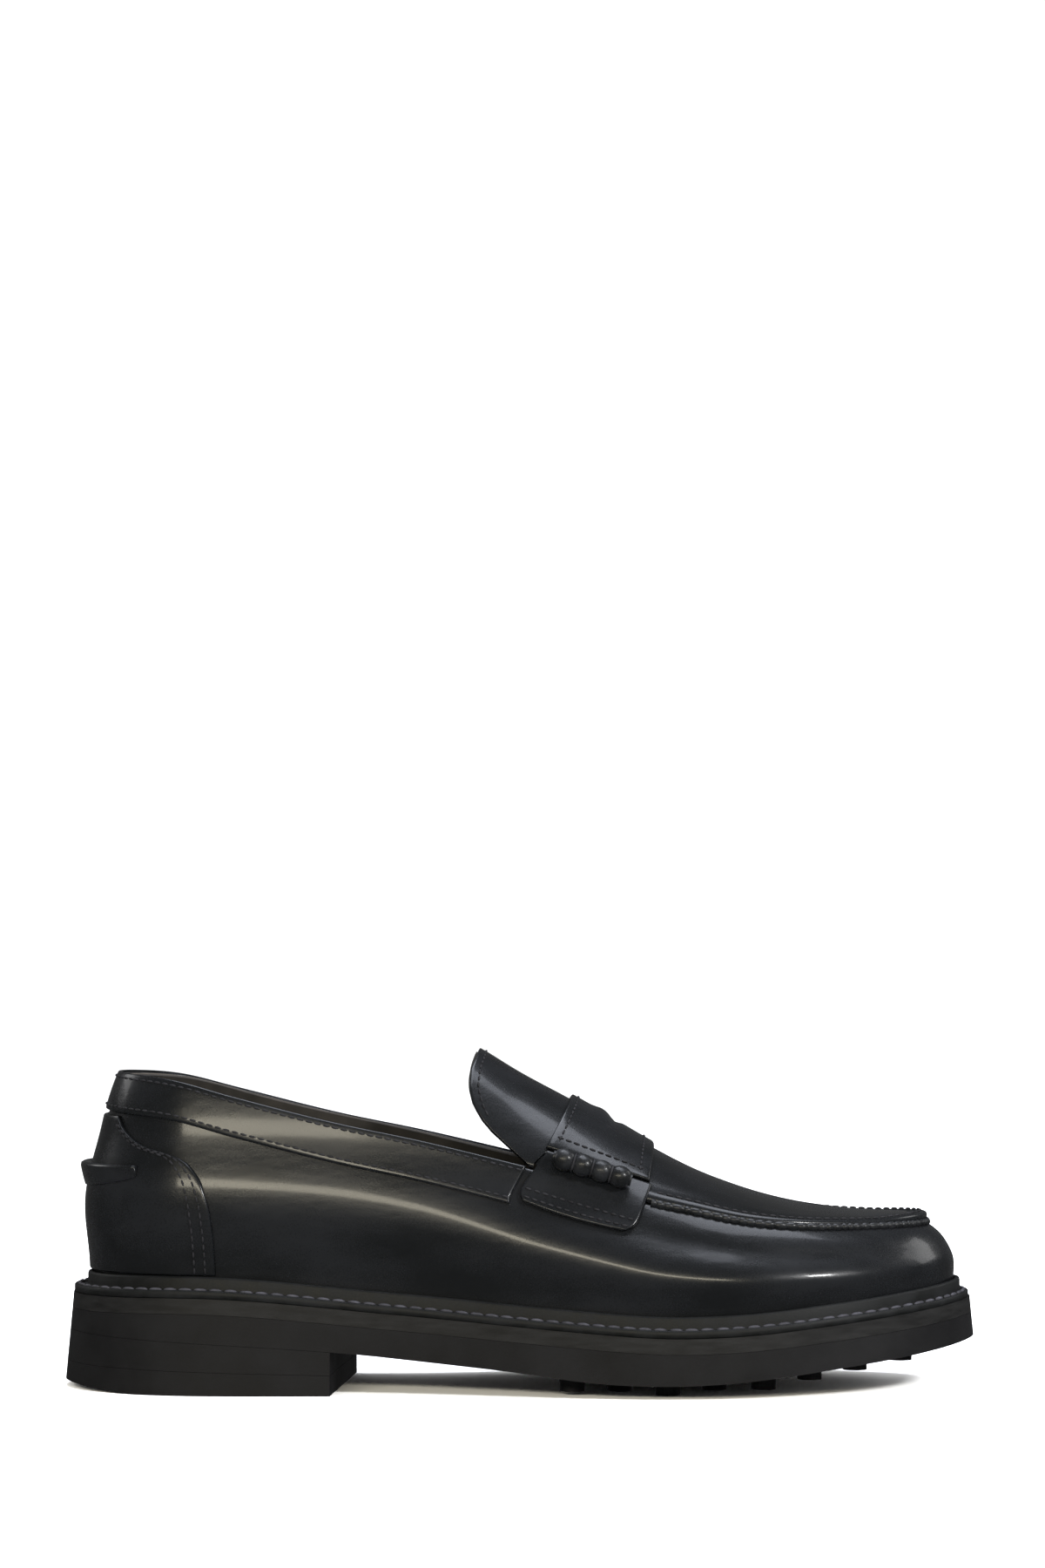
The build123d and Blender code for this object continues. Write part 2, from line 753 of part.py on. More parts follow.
save(saddle_strap.part, "saddle_strap")

tab_zone = side_prism(
    graded((9.0, 78.5), (43.0, 67.3)),
    graded((43.0, 67.3), (42.0, 64.0), (39.5, 57.0), (35.5, 53.0)),
    graded((35.5, 53.0), (18.0, 58.5), (0.5, 62.5)),
    graded((0.5, 62.5), (-2.4, 65.5), (1.5, 72.0), (5.5, 77.0), (9.0, 78.5)),
)
for name, side in (("lateral", -1), ("medial", 1)):
    with BuildPart() as saddle_tab:
        add(saddle_shell)
        add(tab_zone, mode=Mode.INTERSECT)
        with Locations((0, side * 100, 0)):
            Box(4 * shoe_length, 200, 4 * shoe_length, mode=Mode.INTERSECT)
    save(saddle_tab.part, f"saddle_tab_{name}")

# Rolls of leather bound with thread along the joint between strap and tabs
roll_start, roll_end = graded((11.5, 74.5), (35.5, 66.4))
rest = saddle_rest + strap_thickness + gap + roll_radius


def roll_point(t, side):
    x, z = (a + (b - a) * t for a, b in zip(roll_start, roll_end))
    section = Section(place_at(x, side))
    inward, height = section.at(section.share_at(lambda _: z), rest)
    foot, along_plane = section.foot, section.inward
    return Vector(foot[0] + along_plane[0] * inward, foot[1] + along_plane[1] * inward, height)


for name, side in (("lateral", -1), ("medial", 1)):
    stations = [roll_point(t, side) for t in shares(0, 1, 2 * roll_bulges + 1)]
    necks = stations[::2]
    with BuildPart() as roll:
        for i, point in enumerate(stations):
            ahead = stations[min(i + 1, len(stations) - 1)] - stations[max(i - 1, 0)]
            with BuildSketch(Plane(origin=point, x_dir=(0, 0, 1), z_dir=ahead)):
                Circle(roll_radius if i % 2 else roll_neck)
        loft(ruled=True)
    save(roll.part, f"beef_roll_{name}")
    with BuildPart() as threads:
        for i, neck in enumerate(necks[1:-1], start=1):
            with Locations(Plane(origin=neck, z_dir=necks[i + 1] - necks[i - 1])):
                Torus(roll_neck + gap + roll_thread / 2, roll_thread / 2)
    save(threads.part, f"roll_threads_{name}")

# The tongue lifts about its root, which is sewn down under the saddle and ends at its rear edge
tongue_front = flap_front[-1][0]
root_back = [(x + fit + 0.4, z) for x, z in flap_front]


def legs(*points):
    """The straight legs from point to point."""
    return [[a, b] for a, b in zip(points, points[1:])]


def above_edge(x):
    low = min(Section(place_at(x, side)).share_at(edge_height) for side in (-1, 1))
    high = max(Section(place_at(x, side)).share_at(edge_height) for side in (-1, 1))
    return (low + high) / 2 + 0.02


tongue_zone = side_prism(
    tongue_rim,
    *legs(tongue_rim[-1], *flap_front, (tongue_front, high_above), tongue_rim[0]),
)
tongue_xs = shares(graded_x(-20), tongue_front + 1, 7)
for name, faces in (("tongue", leather_faces), ("tongue_lining", (-leather - gap - lining, -leather - gap))):
    save(cut_from(arch_layer(tongue_xs, *faces, above_edge), tongue_zone), name)

root_zone = side_prism(
    *legs((root_back[0][0], 40), *root_back, (root_back[-1][0], high_above), saddle_front[0]),
    *legs(saddle_front[0], saddle_front[2], (root_back[0][0], 40)),
)
root_xs = shares(root_back[0][0] - 1, graded_x(48), 7)
for name, faces in (("tongue_root", leather_faces), ("saddle_lining", (-leather - gap - lining, -leather - gap))):
    save(cut_from(arch_layer(root_xs, *faces, above_edge), root_zone), name)


def seam_point(p):
    section = Section(p)
    inward, z = section.at(edge_share(section), 0.0)
    return (
        section.foot[0] + section.inward[0] * inward,
        section.foot[1] + section.inward[1] * inward,
        z,
    )


seam_start = {side: place_at(along(0.60), side) for side in (-1, 1)}
seam_places = shares(seam_start[-1], seam_start[1], 27)
seam = [seam_point(p) for p in seam_places]
seam_tip = max(x for x, _, _ in seam)


def seam_breadth(x, side):
    """Breadth of the apron on one side at X, read off the seam."""
    row = sorted((a, abs(b)) for a, b, _ in seam if b * side > 0)
    for (xa, ya), (xb, yb) in zip(row, row[1:]):
        if xa <= x <= xb:
            return ya + (yb - ya) * (x - xa) / (xb - xa)
    return row[0][1] if x < row[0][0] else row[-1][1]


lip = fit + leather


def apron_section(x, inner, outer):
    ridge = ridge_height(min(x, along(0.89))) - max(0, x - along(0.89)) * 0.03
    edge = edge_height(x) + lip
    rows = []
    for off in (outer, inner):
        row = []
        for side in (-1, 1):
            wide = max(seam_breadth(x, side), 22.0)
            half = [(side * wide * t, ridge - (ridge - edge) * t**2 + off) for t in (1.12, 0.85, 0.55, 0.28)]
            row += half if side < 0 else [(0.0, ridge + off), *half[::-1]]
        rows.append(row)
    with BuildSketch(Plane(origin=(x, 0, 0), x_dir=(0, 1, 0), z_dir=(1, 0, 0))) as sketch:
        with BuildLine():
            Spline(*rows[0])
            Line(rows[0][-1], rows[1][-1])
            Spline(*rows[1][::-1])
            Line(rows[1][0], rows[0][0])
        make_face()
    return sketch.sketch


def apron_outline(inset):
    """Plan of the apron, inset from the seam and open towards the saddle."""
    middle = (along(0.75), 0.0)
    points = []
    for x, y, _ in seam:
        size = hypot(x - middle[0], y) if x > middle[0] else abs(y)
        dx, dy = ((x - middle[0]) / size if x > middle[0] else 0.0), y / size
        points.append((x - dx * inset, y - dy * inset))
    with BuildPart() as block:
        with BuildSketch(Plane.XY.offset(20)):
            with BuildLine():
                Spline(*points)
                Line(points[-1], points[0])
            make_face()
        extrude(amount=120)
    return block.part


apron_xs = shares(along(0.60), seam_tip + 3, 10)
apron_back = [(x + 4 * fit, z) for x, z in saddle_front]
apron_zone = side_prism(
    apron_back[::-1],
    [apron_back[0], (apron_back[0][0] + 3, high_above)],
    [(apron_back[0][0] + 3, high_above), (shoe_length, high_above)],
    [(shoe_length, high_above), (shoe_length, 30)],
    [(shoe_length, 30), (apron_back[-1][0] - 1, 30)],
)
apron_pieces = (("apron", -leather, 0.0, -0.2), ("apron_lining", -leather - gap - lining, -leather - gap, 2.2))
for name, inner, outer, inset in apron_pieces:
    with BuildPart() as sheet:
        for x in apron_xs:
            add(apron_section(x, inner, outer))
        loft()
    save(cut_from(sheet.part, apron_outline(inset), apron_zone), name)
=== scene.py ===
"""Black penny loafer for the right foot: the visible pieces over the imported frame, with studio and camera.

Lengths in the classes are millimetres, as a pattern maker gives them; `MM` turns them to metres at the
moment that a mesh is made. +X points to the toe, +Y to the inner side of the foot and +Z up.
"""

import logging
import math
from collections.abc import Callable, Sequence
from dataclasses import dataclass, field
from enum import Enum

import bmesh
import bpy
import numpy as np
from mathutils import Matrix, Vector

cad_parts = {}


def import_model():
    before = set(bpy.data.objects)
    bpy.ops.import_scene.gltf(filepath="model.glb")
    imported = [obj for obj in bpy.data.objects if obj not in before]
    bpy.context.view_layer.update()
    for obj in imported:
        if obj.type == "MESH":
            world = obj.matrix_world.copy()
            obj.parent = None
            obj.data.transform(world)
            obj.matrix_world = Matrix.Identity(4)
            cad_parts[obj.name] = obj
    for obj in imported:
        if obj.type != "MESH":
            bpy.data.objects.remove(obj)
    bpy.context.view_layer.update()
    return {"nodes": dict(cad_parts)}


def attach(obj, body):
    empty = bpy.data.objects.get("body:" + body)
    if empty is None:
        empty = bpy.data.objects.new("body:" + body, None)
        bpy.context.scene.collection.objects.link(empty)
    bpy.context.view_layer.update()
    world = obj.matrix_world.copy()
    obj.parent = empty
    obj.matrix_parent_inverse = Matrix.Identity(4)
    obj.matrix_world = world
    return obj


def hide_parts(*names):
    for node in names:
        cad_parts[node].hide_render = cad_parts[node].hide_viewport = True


MM = 0.001
SHOE = "shoe"
FLAP = "tongue_flap"
TONE_SPAN = (0.35, 0.7)  # values of the slow noise that get the dark and the light tone
GLOSS_SPAN = (0.3, 0.7)  # values of the mixed noise that get the least and the most roughness
GRAIN_SHARE = 0.45  # how much the fine grain adds to the roughness
CREASE_SOFTNESS = 0.7
STITCH_RISE_MM = 0.1  # middle of a thread over the leather's face
SEAM_THREAD_MM = 0.75
Array = np.ndarray
Surface = Callable[[Array, Array, Array], Array]

logging.basicConfig(level=logging.INFO, format="%(levelname)s %(message)s")
log = logging.getLogger("penny_loafer")


class Side(Enum):
    """The two sides of the foot, as the sign of Y."""

    OUTER = -1
    INNER = 1


# ------------------------------------------------------------------ finishes


def linear(hex_colour: str) -> tuple[float, float, float, float]:
    """Turns an sRGB hex colour to linear RGBA.

    Args:
        hex_colour: six hex digits after a hash.

    Returns:
        Linear red, green, blue and an alpha of one.
    """
    parts = [int(hex_colour[i : i + 2], 16) / 255 for i in (1, 3, 5)]
    return (*[c / 12.92 if c <= 0.04045 else ((c + 0.055) / 1.055) ** 2.4 for c in parts], 1.0)


def add_node(tree: bpy.types.NodeTree, kind: str, links: dict | None = None, **settings: object) -> bpy.types.Node:
    """Adds a node with its settings and its incoming links.

    Args:
        tree: the tree that gets the node.
        kind: the node's type name.
        links: input name or index to the output socket that feeds it.
        settings: node properties, or inputs when the key names one (underscores stand for spaces).

    Returns:
        The new node.
    """
    node = tree.nodes.new(kind)
    for key, value in settings.items():
        if hasattr(node, key):
            setattr(node, key, value)
        else:
            node.inputs[key.replace("_", " ")].default_value = value
    for key, source in (links or {}).items():
        tree.links.new(source, node.inputs[key])
    return node


@dataclass(frozen=True)
class Finish:
    """A surface with two close tones, a fine grain and a slow unevenness from hand work."""

    name: str
    dark: str
    light: str
    roughness: tuple[float, float]
    grain_mm: float
    grain_height_mm: float
    patch_mm: float = 14.0
    crease_mm: float = 0.0
    crease_height_mm: float = 0.0
    coat: float = 0.0
    coat_roughness: float = 0.1
    specular: float = 0.09
    ior: float = 1.5
    metallic: float = 0.0
    stretch: tuple[float, float, float] = (1.0, 1.0, 1.0)

    def material(self) -> bpy.types.Material:
        """Returns the finish as a node material, made once."""
        if self.name in bpy.data.materials:
            return bpy.data.materials[self.name]
        mat = bpy.data.materials.new(self.name)
        mat.use_nodes = True
        tree = mat.node_tree
        tree.nodes.clear()
        place = add_node(tree, "ShaderNodeTexCoord").outputs["Object"]
        mapped = add_node(tree, "ShaderNodeMapping", {"Vector": place}, Scale=self.stretch).outputs[0]
        patch = add_node(
            tree, "ShaderNodeTexNoise", {"Vector": mapped}, Scale=1 / (self.patch_mm * MM), Detail=4.0
        ).outputs[0]
        grain = add_node(
            tree, "ShaderNodeTexNoise", {"Vector": place}, Scale=1 / (self.grain_mm * MM), Detail=3.0, Roughness=0.6
        ).outputs[0]
        colour = add_node(tree, "ShaderNodeValToRGB", {"Fac": patch})
        colour.color_ramp.elements[0].position, colour.color_ramp.elements[1].position = TONE_SPAN
        colour.color_ramp.elements[0].color = linear(self.dark)
        colour.color_ramp.elements[1].color = linear(self.light)
        blend = add_node(tree, "ShaderNodeMix", {"A": patch, "B": grain}, data_type="FLOAT", Factor=GRAIN_SHARE)
        gloss = add_node(
            tree,
            "ShaderNodeMapRange",
            {"Value": blend.outputs[0]},
            From_Min=GLOSS_SPAN[0],
            From_Max=GLOSS_SPAN[1],
            To_Min=self.roughness[0],
            To_Max=self.roughness[1],
        )
        bump = add_node(tree, "ShaderNodeBump", {"Height": grain}, Distance=self.grain_height_mm * MM, Strength=1.0)
        if self.crease_mm:
            crease = add_node(
                tree,
                "ShaderNodeTexVoronoi",
                {"Vector": mapped},
                feature="SMOOTH_F1",
                Scale=1 / (self.crease_mm * MM),
                Smoothness=CREASE_SOFTNESS,
            )
            bump = add_node(
                tree,
                "ShaderNodeBump",
                {"Height": crease.outputs["Distance"], "Normal": bump.outputs[0]},
                Distance=self.crease_height_mm * MM,
                Strength=1.0,
            )
        shader = add_node(
            tree,
            "ShaderNodeBsdfPrincipled",
            {"Base Color": colour.outputs[0], "Roughness": gloss.outputs[0], "Normal": bump.outputs[0]},
            IOR=self.ior,
            Metallic=self.metallic,
            Specular_IOR_Level=self.specular,
            Coat_Weight=self.coat,
            Coat_Roughness=self.coat_roughness,
        )
        add_node(tree, "ShaderNodeOutputMaterial", {"Surface": shader.outputs[0]})
        return mat


# Calf brushed to a shine over a dark ground: a thin hard wax layer over fine pores
BRUSHED_CALF = Finish(
    "brushed_off_calf", "#08090a", "#0f1012", (0.2, 0.34), 0.55, 0.03, 16.0, 2.4, 0.035, 0.1, 0.1,
    stretch=(0.35, 1, 1),
)  # fmt: skip
# The same calf where folding has opened its grain
FOLDED_CALF = Finish("folded_calf", "#090a0b", "#121315", (0.32, 0.5), 0.5, 0.06, 5.0, 1.1, 0.12, 0.1, 0.2)
# Drum-dyed lining leather, matt and soft
LINING = Finish("drum_dyed_lining", "#1b1a19", "#262422", (0.6, 0.8), 0.4, 0.03, 9.0)
# Dyed welt leather, waxed by hand
WELT = Finish("waxed_welt_leather", "#060707", "#0d0e0f", (0.42, 0.62), 0.4, 0.05, 7.0)
# Compression-moulded rubber, eggshell matt
RUBBER = Finish("moulded_rubber", "#070708", "#0d0d0e", (0.5, 0.72), 0.35, 0.03, 18.0)
# Trimmed and inked edge of the midsole
INKED_EDGE = Finish("inked_edge", "#0b0b0b", "#131313", (0.45, 0.65), 0.3, 0.04, 10.0, stretch=(1, 1, 6))
# Black waxed thread of the upper's seams
THREAD = Finish("waxed_black_thread", "#101012", "#1b1b1e", (0.5, 0.7), 0.25, 0.06, 3.0)
# Waxed linen thread of the welt, a tone lighter where the wax has rubbed off
WELT_THREAD = Finish("waxed_linen_thread", "#232327", "#34343a", (0.5, 0.7), 0.25, 0.06, 3.0)
# Paperboard and fibre stiffeners
FIBREBOARD = Finish("fibreboard", "#2b2824", "#3a3631", (0.8, 0.95), 0.6, 0.05, 6.0)
# Vegetable-tanned insole leather
VEG_TAN = Finish("vegetable_tan", "#a9774a", "#bf8c5b", (0.55, 0.75), 0.5, 0.04, 9.0)
# Ground cork bound with latex
CORK = Finish("ground_cork", "#6d4a2c", "#a67b4d", (0.85, 0.95), 1.4, 0.2, 2.5)
# Open-cell latex foam
FOAM = Finish("latex_foam", "#3c3c3e", "#4a4a4c", (0.85, 0.95), 0.7, 0.1, 5.0)
# Cold-rolled spring steel, brushed along its length
STEEL = Finish(
    "rolled_steel", "#7c7e82", "#94969a", (0.25, 0.4), 0.2, 0.01, 5.0, specular=0.5, metallic=1.0,
    stretch=(0.1, 1, 1),
)  # fmt: skip
# Drawn brass wire
BRASS = Finish("drawn_brass", "#a98345", "#c19a57", (0.25, 0.4), 0.3, 0.01, 3.0, specular=0.5, metallic=1.0)

NODE_FINISHES = {
    BRUSHED_CALF: ["tongue_root"],
    LINING: ["apron_lining", "vamp_lining", "quarter_lining", "tongue_lining", "saddle_lining", "sock_liner"],
    INKED_EDGE: ["midsole"],
    RUBBER: ["outsole", "heel_lift", "heel_top_piece"],
    THREAD: ["roll_threads_lateral", "roll_threads_medial"],
    FIBREBOARD: ["heel_counter", "toe_puff", "side_stay_lateral", "side_stay_medial"],
    VEG_TAN: ["insole_board", "insole_rib"],
    CORK: ["cork_filler"],
    FOAM: ["heel_pad"],
    STEEL: ["shank"],
    BRASS: ["heel_nails"],
}

# ------------------------------------------------------------------ the last


class Curve:
    """A height or breadth read along X, smooth through its points."""

    def __init__(self, *points: tuple[float, float]) -> None:
        """Takes the points in order of X."""
        self.xs, self.ys = (np.array(c, float) for c in zip(*points))
        rise = np.diff(self.ys) / np.diff(self.xs)
        self.slopes = np.concatenate([rise[:1], (rise[1:] + rise[:-1]) / 2, rise[-1:]])

    def __call__(self, x: Array | float) -> Array:
        """Returns the curve's value at X, straight beyond its ends."""
        x = np.asarray(x, float)
        i = np.clip(np.searchsorted(self.xs, x, side="right") - 1, 0, len(self.xs) - 2)
        span = self.xs[i + 1] - self.xs[i]
        t = np.clip((x - self.xs[i]) / span, 0, 1)
        a, b, m, n = self.ys[i], self.ys[i + 1], self.slopes[i] * span, self.slopes[i + 1] * span
        inside = a + m * t + (3 * (b - a) - 2 * m - n) * t**2 + (2 * (a - b) + m + n) * t**3
        beyond = np.minimum(x - self.xs[0], 0) * self.slopes[0] + np.maximum(x - self.xs[-1], 0) * self.slopes[-1]
        return inside + beyond


BACK, TIP = -140.5, 143.5


def along(share: float) -> float:
    """Returns X at a share of the upper's length, from the back of the heel."""
    return BACK + share * (TIP - BACK)


def shares(*points: tuple[float, float]) -> Curve:
    """Returns a curve whose points are given at shares of the upper's length."""
    return Curve(*[(along(a), b) for a, b in points])


@dataclass
class Last:
    """The foot form that every piece of the upper is a layer of."""

    ball_width: float = 97.0
    bead_height: float = 4.2
    bulge_top: float = 0.55
    outline: tuple[tuple[float, float], ...] = (
        (0.0, 0.0), (0.022, -0.172), (0.08, -0.288), (0.16, -0.335), (0.285, -0.348), (0.42, -0.383),
        (0.54, -0.452), (0.66, -0.503), (0.775, -0.491), (0.875, -0.405), (0.95, -0.262), (0.988, -0.112),
        (1.0, 0.035), (0.988, 0.160), (0.945, 0.290), (0.865, 0.408), (0.76, 0.477), (0.65, 0.483),
        (0.54, 0.423), (0.42, 0.340), (0.29, 0.313), (0.165, 0.328), (0.08, 0.287), (0.022, 0.172),
    )  # fmt: skip
    tip_place: int = 12
    welt_top: Curve = field(default_factory=lambda: shares(
        (0, 33.6), (0.15, 33.8), (0.335, 29.5), (0.58, 23.8), (0.665, 22.5), (0.755, 23.4),
        (0.845, 26.0), (0.92, 28.4), (1, 31.2),
    ))  # fmt: skip
    ridge: Curve = field(default_factory=lambda: shares(
        (0.14, 125), (0.285, 125), (0.385, 119.5), (0.448, 111.0), (0.495, 103.0), (0.565, 92.3),
        (0.653, 77.5), (0.698, 71.0), (0.737, 66.6), (0.777, 62.9), (0.817, 60.2), (0.858, 58.4), (0.89, 57.3),
    ))  # fmt: skip
    rim: Curve = field(default_factory=lambda: shares(
        (0.03, 103.2), (0.097, 101.2), (0.165, 96.2), (0.281, 88.0), (0.384, 81.9), (0.498, 74.0),
        (0.565, 69.0), (0.639, 62.5), (0.694, 59.2), (0.752, 56.0), (0.811, 54.3), (0.87, 53.6),
        (0.933, 53.4), (0.98, 53.2),
    ))  # fmt: skip
    reach: Curve = field(default_factory=lambda: Curve(*[(along(a), along(b)) for a, b in (
        (0, 0.143), (0.072, 0.15), (0.18, 0.2), (0.285, 0.287), (0.36, 0.36), (0.6, 0.6), (0.67, 0.668),
        (0.776, 0.758), (0.88, 0.835), (0.95, 0.877), (1, 0.889),
    )]))  # fmt: skip
    power: Curve = field(default_factory=lambda: shares(
        (0, 2.5), (0.285, 2.5), (0.385, 2.3), (0.495, 2.05), (0.64, 2.05), (0.7, 2.3), (0.81, 2.8),
        (0.9, 2.7), (1, 2.6),
    ))  # fmt: skip
    bulge: Curve = field(default_factory=lambda: shares((0, 2.2), (0.3, 2.6), (0.65, 3.2), (0.85, 2.2), (1, 0.4)))

    def __post_init__(self) -> None:
        """Lays out the feather line."""
        self.ring = np.array([(along(a), b * self.ball_width) for a, b in self.outline])
        self.places = len(self.ring)
        self.walk = {
            Side.OUTER: np.linspace(0, self.tip_place, 400),
            Side.INNER: np.linspace(self.places, self.tip_place, 400),
        }

    def foot(self, p: Array, out: Array | float = 0.0) -> Array:
        """Returns points of the feather line at places p, moved outwards."""
        p = np.asarray(p, float)
        i = np.floor(p).astype(int)
        t = (p - i)[..., None]
        a, b, c, d = (self.ring[(i + k) % self.places] for k in (-1, 0, 1, 2))
        m, n = (c - a) / 2, (d - b) / 2
        square, cube = 3 * (c - b) - 2 * m - n, 2 * (b - c) + m + n
        point, slope = b + m * t + square * t**2 + cube * t**3, m + 2 * square * t + 3 * cube * t**2
        size = np.linalg.norm(slope, axis=-1, keepdims=True)
        normal = np.stack([slope[..., 1], -slope[..., 0]], -1) / size
        return point + normal * np.asarray(out, float)[..., None]

    def place_at(self, x: Array, side: Side) -> Array:
        """Returns the place on the feather line with this X."""
        walk = self.walk[side]
        return np.interp(x, self.foot(walk)[:, 0], walk)

    def _section(self, p: Array) -> tuple[Array, ...]:
        """Returns foot, inward direction, span, low, rise, power and bulge of the section at p."""
        foot = self.foot(p)
        x = foot[..., 0]
        way = np.stack([self.reach(x) - x, -foot[..., 1]], -1)
        span = np.linalg.norm(way, axis=-1)
        low = self.welt_top(x) + self.bead_height
        rise = self.ridge(self.reach(x)) - low
        return foot, way / span[..., None], span, low, rise, self.power(x), self.bulge(x)

    def _profile(self, high: Array, off: Array, parts: tuple[Array, ...]) -> tuple[Array, Array]:
        """Returns the inward distance and height on a section at a share of its height."""
        _, _, span, low, rise, power, bulge = parts
        wide = np.maximum(0, 1 - high**power) ** (1 / power)
        swell = np.where(high < self.bulge_top, bulge * np.sin(np.pi * high / self.bulge_top) ** 2, 0)
        out, up = wide ** (power - 1) / span, high ** (power - 1) / rise
        size = np.hypot(out, up)
        return span * (1 - wide) - swell - off * out / size, low + rise * high + off * up / size

    def wall(self, p: Array, z: Array, off: Array) -> Array:
        """Returns points of the wall at places p and heights z, moved out by off."""
        p, z, off = np.broadcast_arrays(*(np.asarray(a, float) for a in (p, z, off)))
        parts = self._section(p)
        foot, way, _, low, rise = parts[:5]
        inward, height = self._profile(np.clip((z - low) / rise, 1e-6, 1), off, parts)
        height = np.where(z < low, z, height)
        return np.concatenate([foot + way * inward[..., None], height[..., None]], -1)

    def arch(self, x: Array, s: Array, off: Array) -> Array:
        """Returns points across the shoe at X; s runs from -1 at the outer foot over 0 at the ridge to 1."""
        x, s, off = np.broadcast_arrays(*(np.asarray(a, float) for a in (x, s, off)))
        p = np.where(s < 0, self.place_at(x, Side.OUTER), self.place_at(x, Side.INNER))
        parts = self._section(p)
        power = parts[5]
        high = np.maximum(0, 1 - np.abs(s) ** power) ** (1 / power)
        inward, z = self._profile(np.maximum(high, 1e-6), off, parts)
        return np.stack([x, np.sign(s) * (parts[2] - inward), z], -1)

    def spread(self, x: Array, z: Array, side: Side) -> Array:
        """Returns the size of s on the arch where it has the height z at X."""
        parts = self._section(self.place_at(x, side))
        high = np.clip((z - parts[3]) / parts[4], 0, 1)
        return np.maximum(0, 1 - high ** parts[5]) ** (1 / parts[5])

    def place_of(self, x: Array, z: Array, side: Side) -> Array:
        """Returns the place whose wall has this X at the height z."""
        walk = self.walk[side]
        rows = [np.interp(a, self.wall(walk, b, 0.0)[:, 0], walk) for a, b in zip(np.ravel(x), np.ravel(z))]
        return np.array(rows).reshape(np.shape(x))

    def seam(self, start: float, count: int) -> tuple[Array, Array]:
        """Returns places and points of the wall's upper edge from one side round the toe to the other."""
        ends = [float(self.place_at(start, side)) for side in (Side.OUTER, Side.INNER)]
        p = np.linspace(*ends, count)
        z = self.rim(self.foot(p)[:, 0])
        for _ in range(4):
            z = self.rim(self.wall(p, z, 0.0)[:, 0])
        return p, self.wall(p, z, 0.0)


LAST = Last()
Edge = tuple[tuple[float, float], ...]


def edge_x(z: Array, edge: Edge) -> Array:
    """Returns X at heights z on an edge drawn from the side as points (X, Z), from the bottom up."""
    return np.interp(z, [point[1] for point in edge], [point[0] for point in edge])


# ------------------------------------------------------------------ mesh making


def steps(length: float, pitch: float, rounding: float = 0.0) -> Array:
    """Returns shares from 0 to 1 with extra rows near both ends for a rounded edge."""
    inner = np.linspace(0, 1, max(3, int(length / pitch)))
    if not rounding:
        return inner
    near = np.array([0.0, 0.07, 0.25, 0.55, 1.0]) * rounding / length
    return np.concatenate([near, inner[(inner > near[-1] * 1.4) & (inner < 1 - near[-1] * 1.4)], 1 - near[::-1]])


def piece(name: str, points: Array, faces: Sequence[Sequence[int]], finish: Finish) -> bpy.types.Object:
    """Makes an object from points in millimetres.

    Args:
        name: the piece's name.
        points: its vertices.
        faces: its faces.
        finish: its surface.

    Returns:
        The object, smooth shaded with its faces turned outwards.
    """
    mesh = bpy.data.meshes.new(name)
    mesh.from_pydata((np.asarray(points) * MM).tolist(), [], faces)
    work = bmesh.new()
    work.from_mesh(mesh)
    bmesh.ops.remove_doubles(work, verts=work.verts, dist=1e-6)
    bmesh.ops.recalc_face_normals(work, faces=work.faces)
    for face in work.faces:
        face.smooth = True
    work.to_mesh(mesh)
    work.free()
    mesh.materials.append(finish.material())
    made = bpy.data.objects.new(name, mesh)
    bpy.context.scene.collection.objects.link(made)
    log.info("%s: %d faces", name, len(mesh.polygons))
    return made


def slab(
    name: str,
    surface: Surface,
    size: tuple[float, float],
    inner: float,
    outer: float,
    finish: Finish,
    pitch: float = 1.6,
    rounding: float = 0.7,
) -> bpy.types.Object:
    """Makes a leather sheet with rounded edges over a surface given by two shares and an offset.

    Args:
        name: the piece's name.
        surface: maps shares u, v and an offset to points.
        size: rough lengths along u and v.
        inner: offset of the flesh side.
        outer: offset of the grain side.
        finish: its surface.
        pitch: mesh spacing.
        rounding: radius of the edges.

    Returns:
        The closed sheet.
    """
    u, v = steps(size[0], pitch, rounding), steps(size[1], pitch, rounding)
    uu, vv = np.meshgrid(u, v, indexing="ij")
    away = np.minimum(np.minimum(uu, 1 - uu) * size[0], np.minimum(vv, 1 - vv) * size[1])
    sink = rounding * (1 - np.sqrt(np.maximum(0, 1 - np.maximum(0, 1 - away / rounding) ** 2)))
    top = surface(uu, vv, outer - sink).reshape(-1, 3)
    base = surface(uu, vv, np.full_like(uu, inner)).reshape(-1, 3)
    rows, cols = uu.shape
    count = rows * cols
    index = np.arange(count).reshape(rows, cols)
    quads = np.stack([index[:-1, :-1], index[1:, :-1], index[1:, 1:], index[:-1, 1:]], -1).reshape(-1, 4)
    border = np.concatenate([index[:, 0], index[-1, 1:], index[-2::-1, -1], index[0, -2:0:-1]])
    following = np.roll(border, -1)
    sides = np.stack([border, following, following + count, border + count], -1)
    faces = np.concatenate([quads, quads[:, ::-1] + count, sides]).tolist()
    return piece(name, np.concatenate([top, base]), faces, finish)


def loops(name: str, rings: Array, finish: Finish, closed: bool = False) -> bpy.types.Object:
    """Makes a solid through closed profiles.

    Args:
        name: the piece's name.
        rings: profiles by points by three coordinates.
        finish: its surface.
        closed: True if the last profile joins the first.

    Returns:
        The solid.
    """
    count, size = rings.shape[:2]
    index = np.arange(count * size).reshape(count, size)
    ahead = np.roll(index, -1, 0) if closed else index[1:]
    here = index if closed else index[:-1]
    faces = np.stack([here, ahead, np.roll(ahead, -1, 1), np.roll(here, -1, 1)], -1).reshape(-1, 4).tolist()
    if not closed:
        faces += [index[0][::-1].tolist(), index[-1].tolist()]
    return piece(name, rings.reshape(-1, 3), faces, finish)


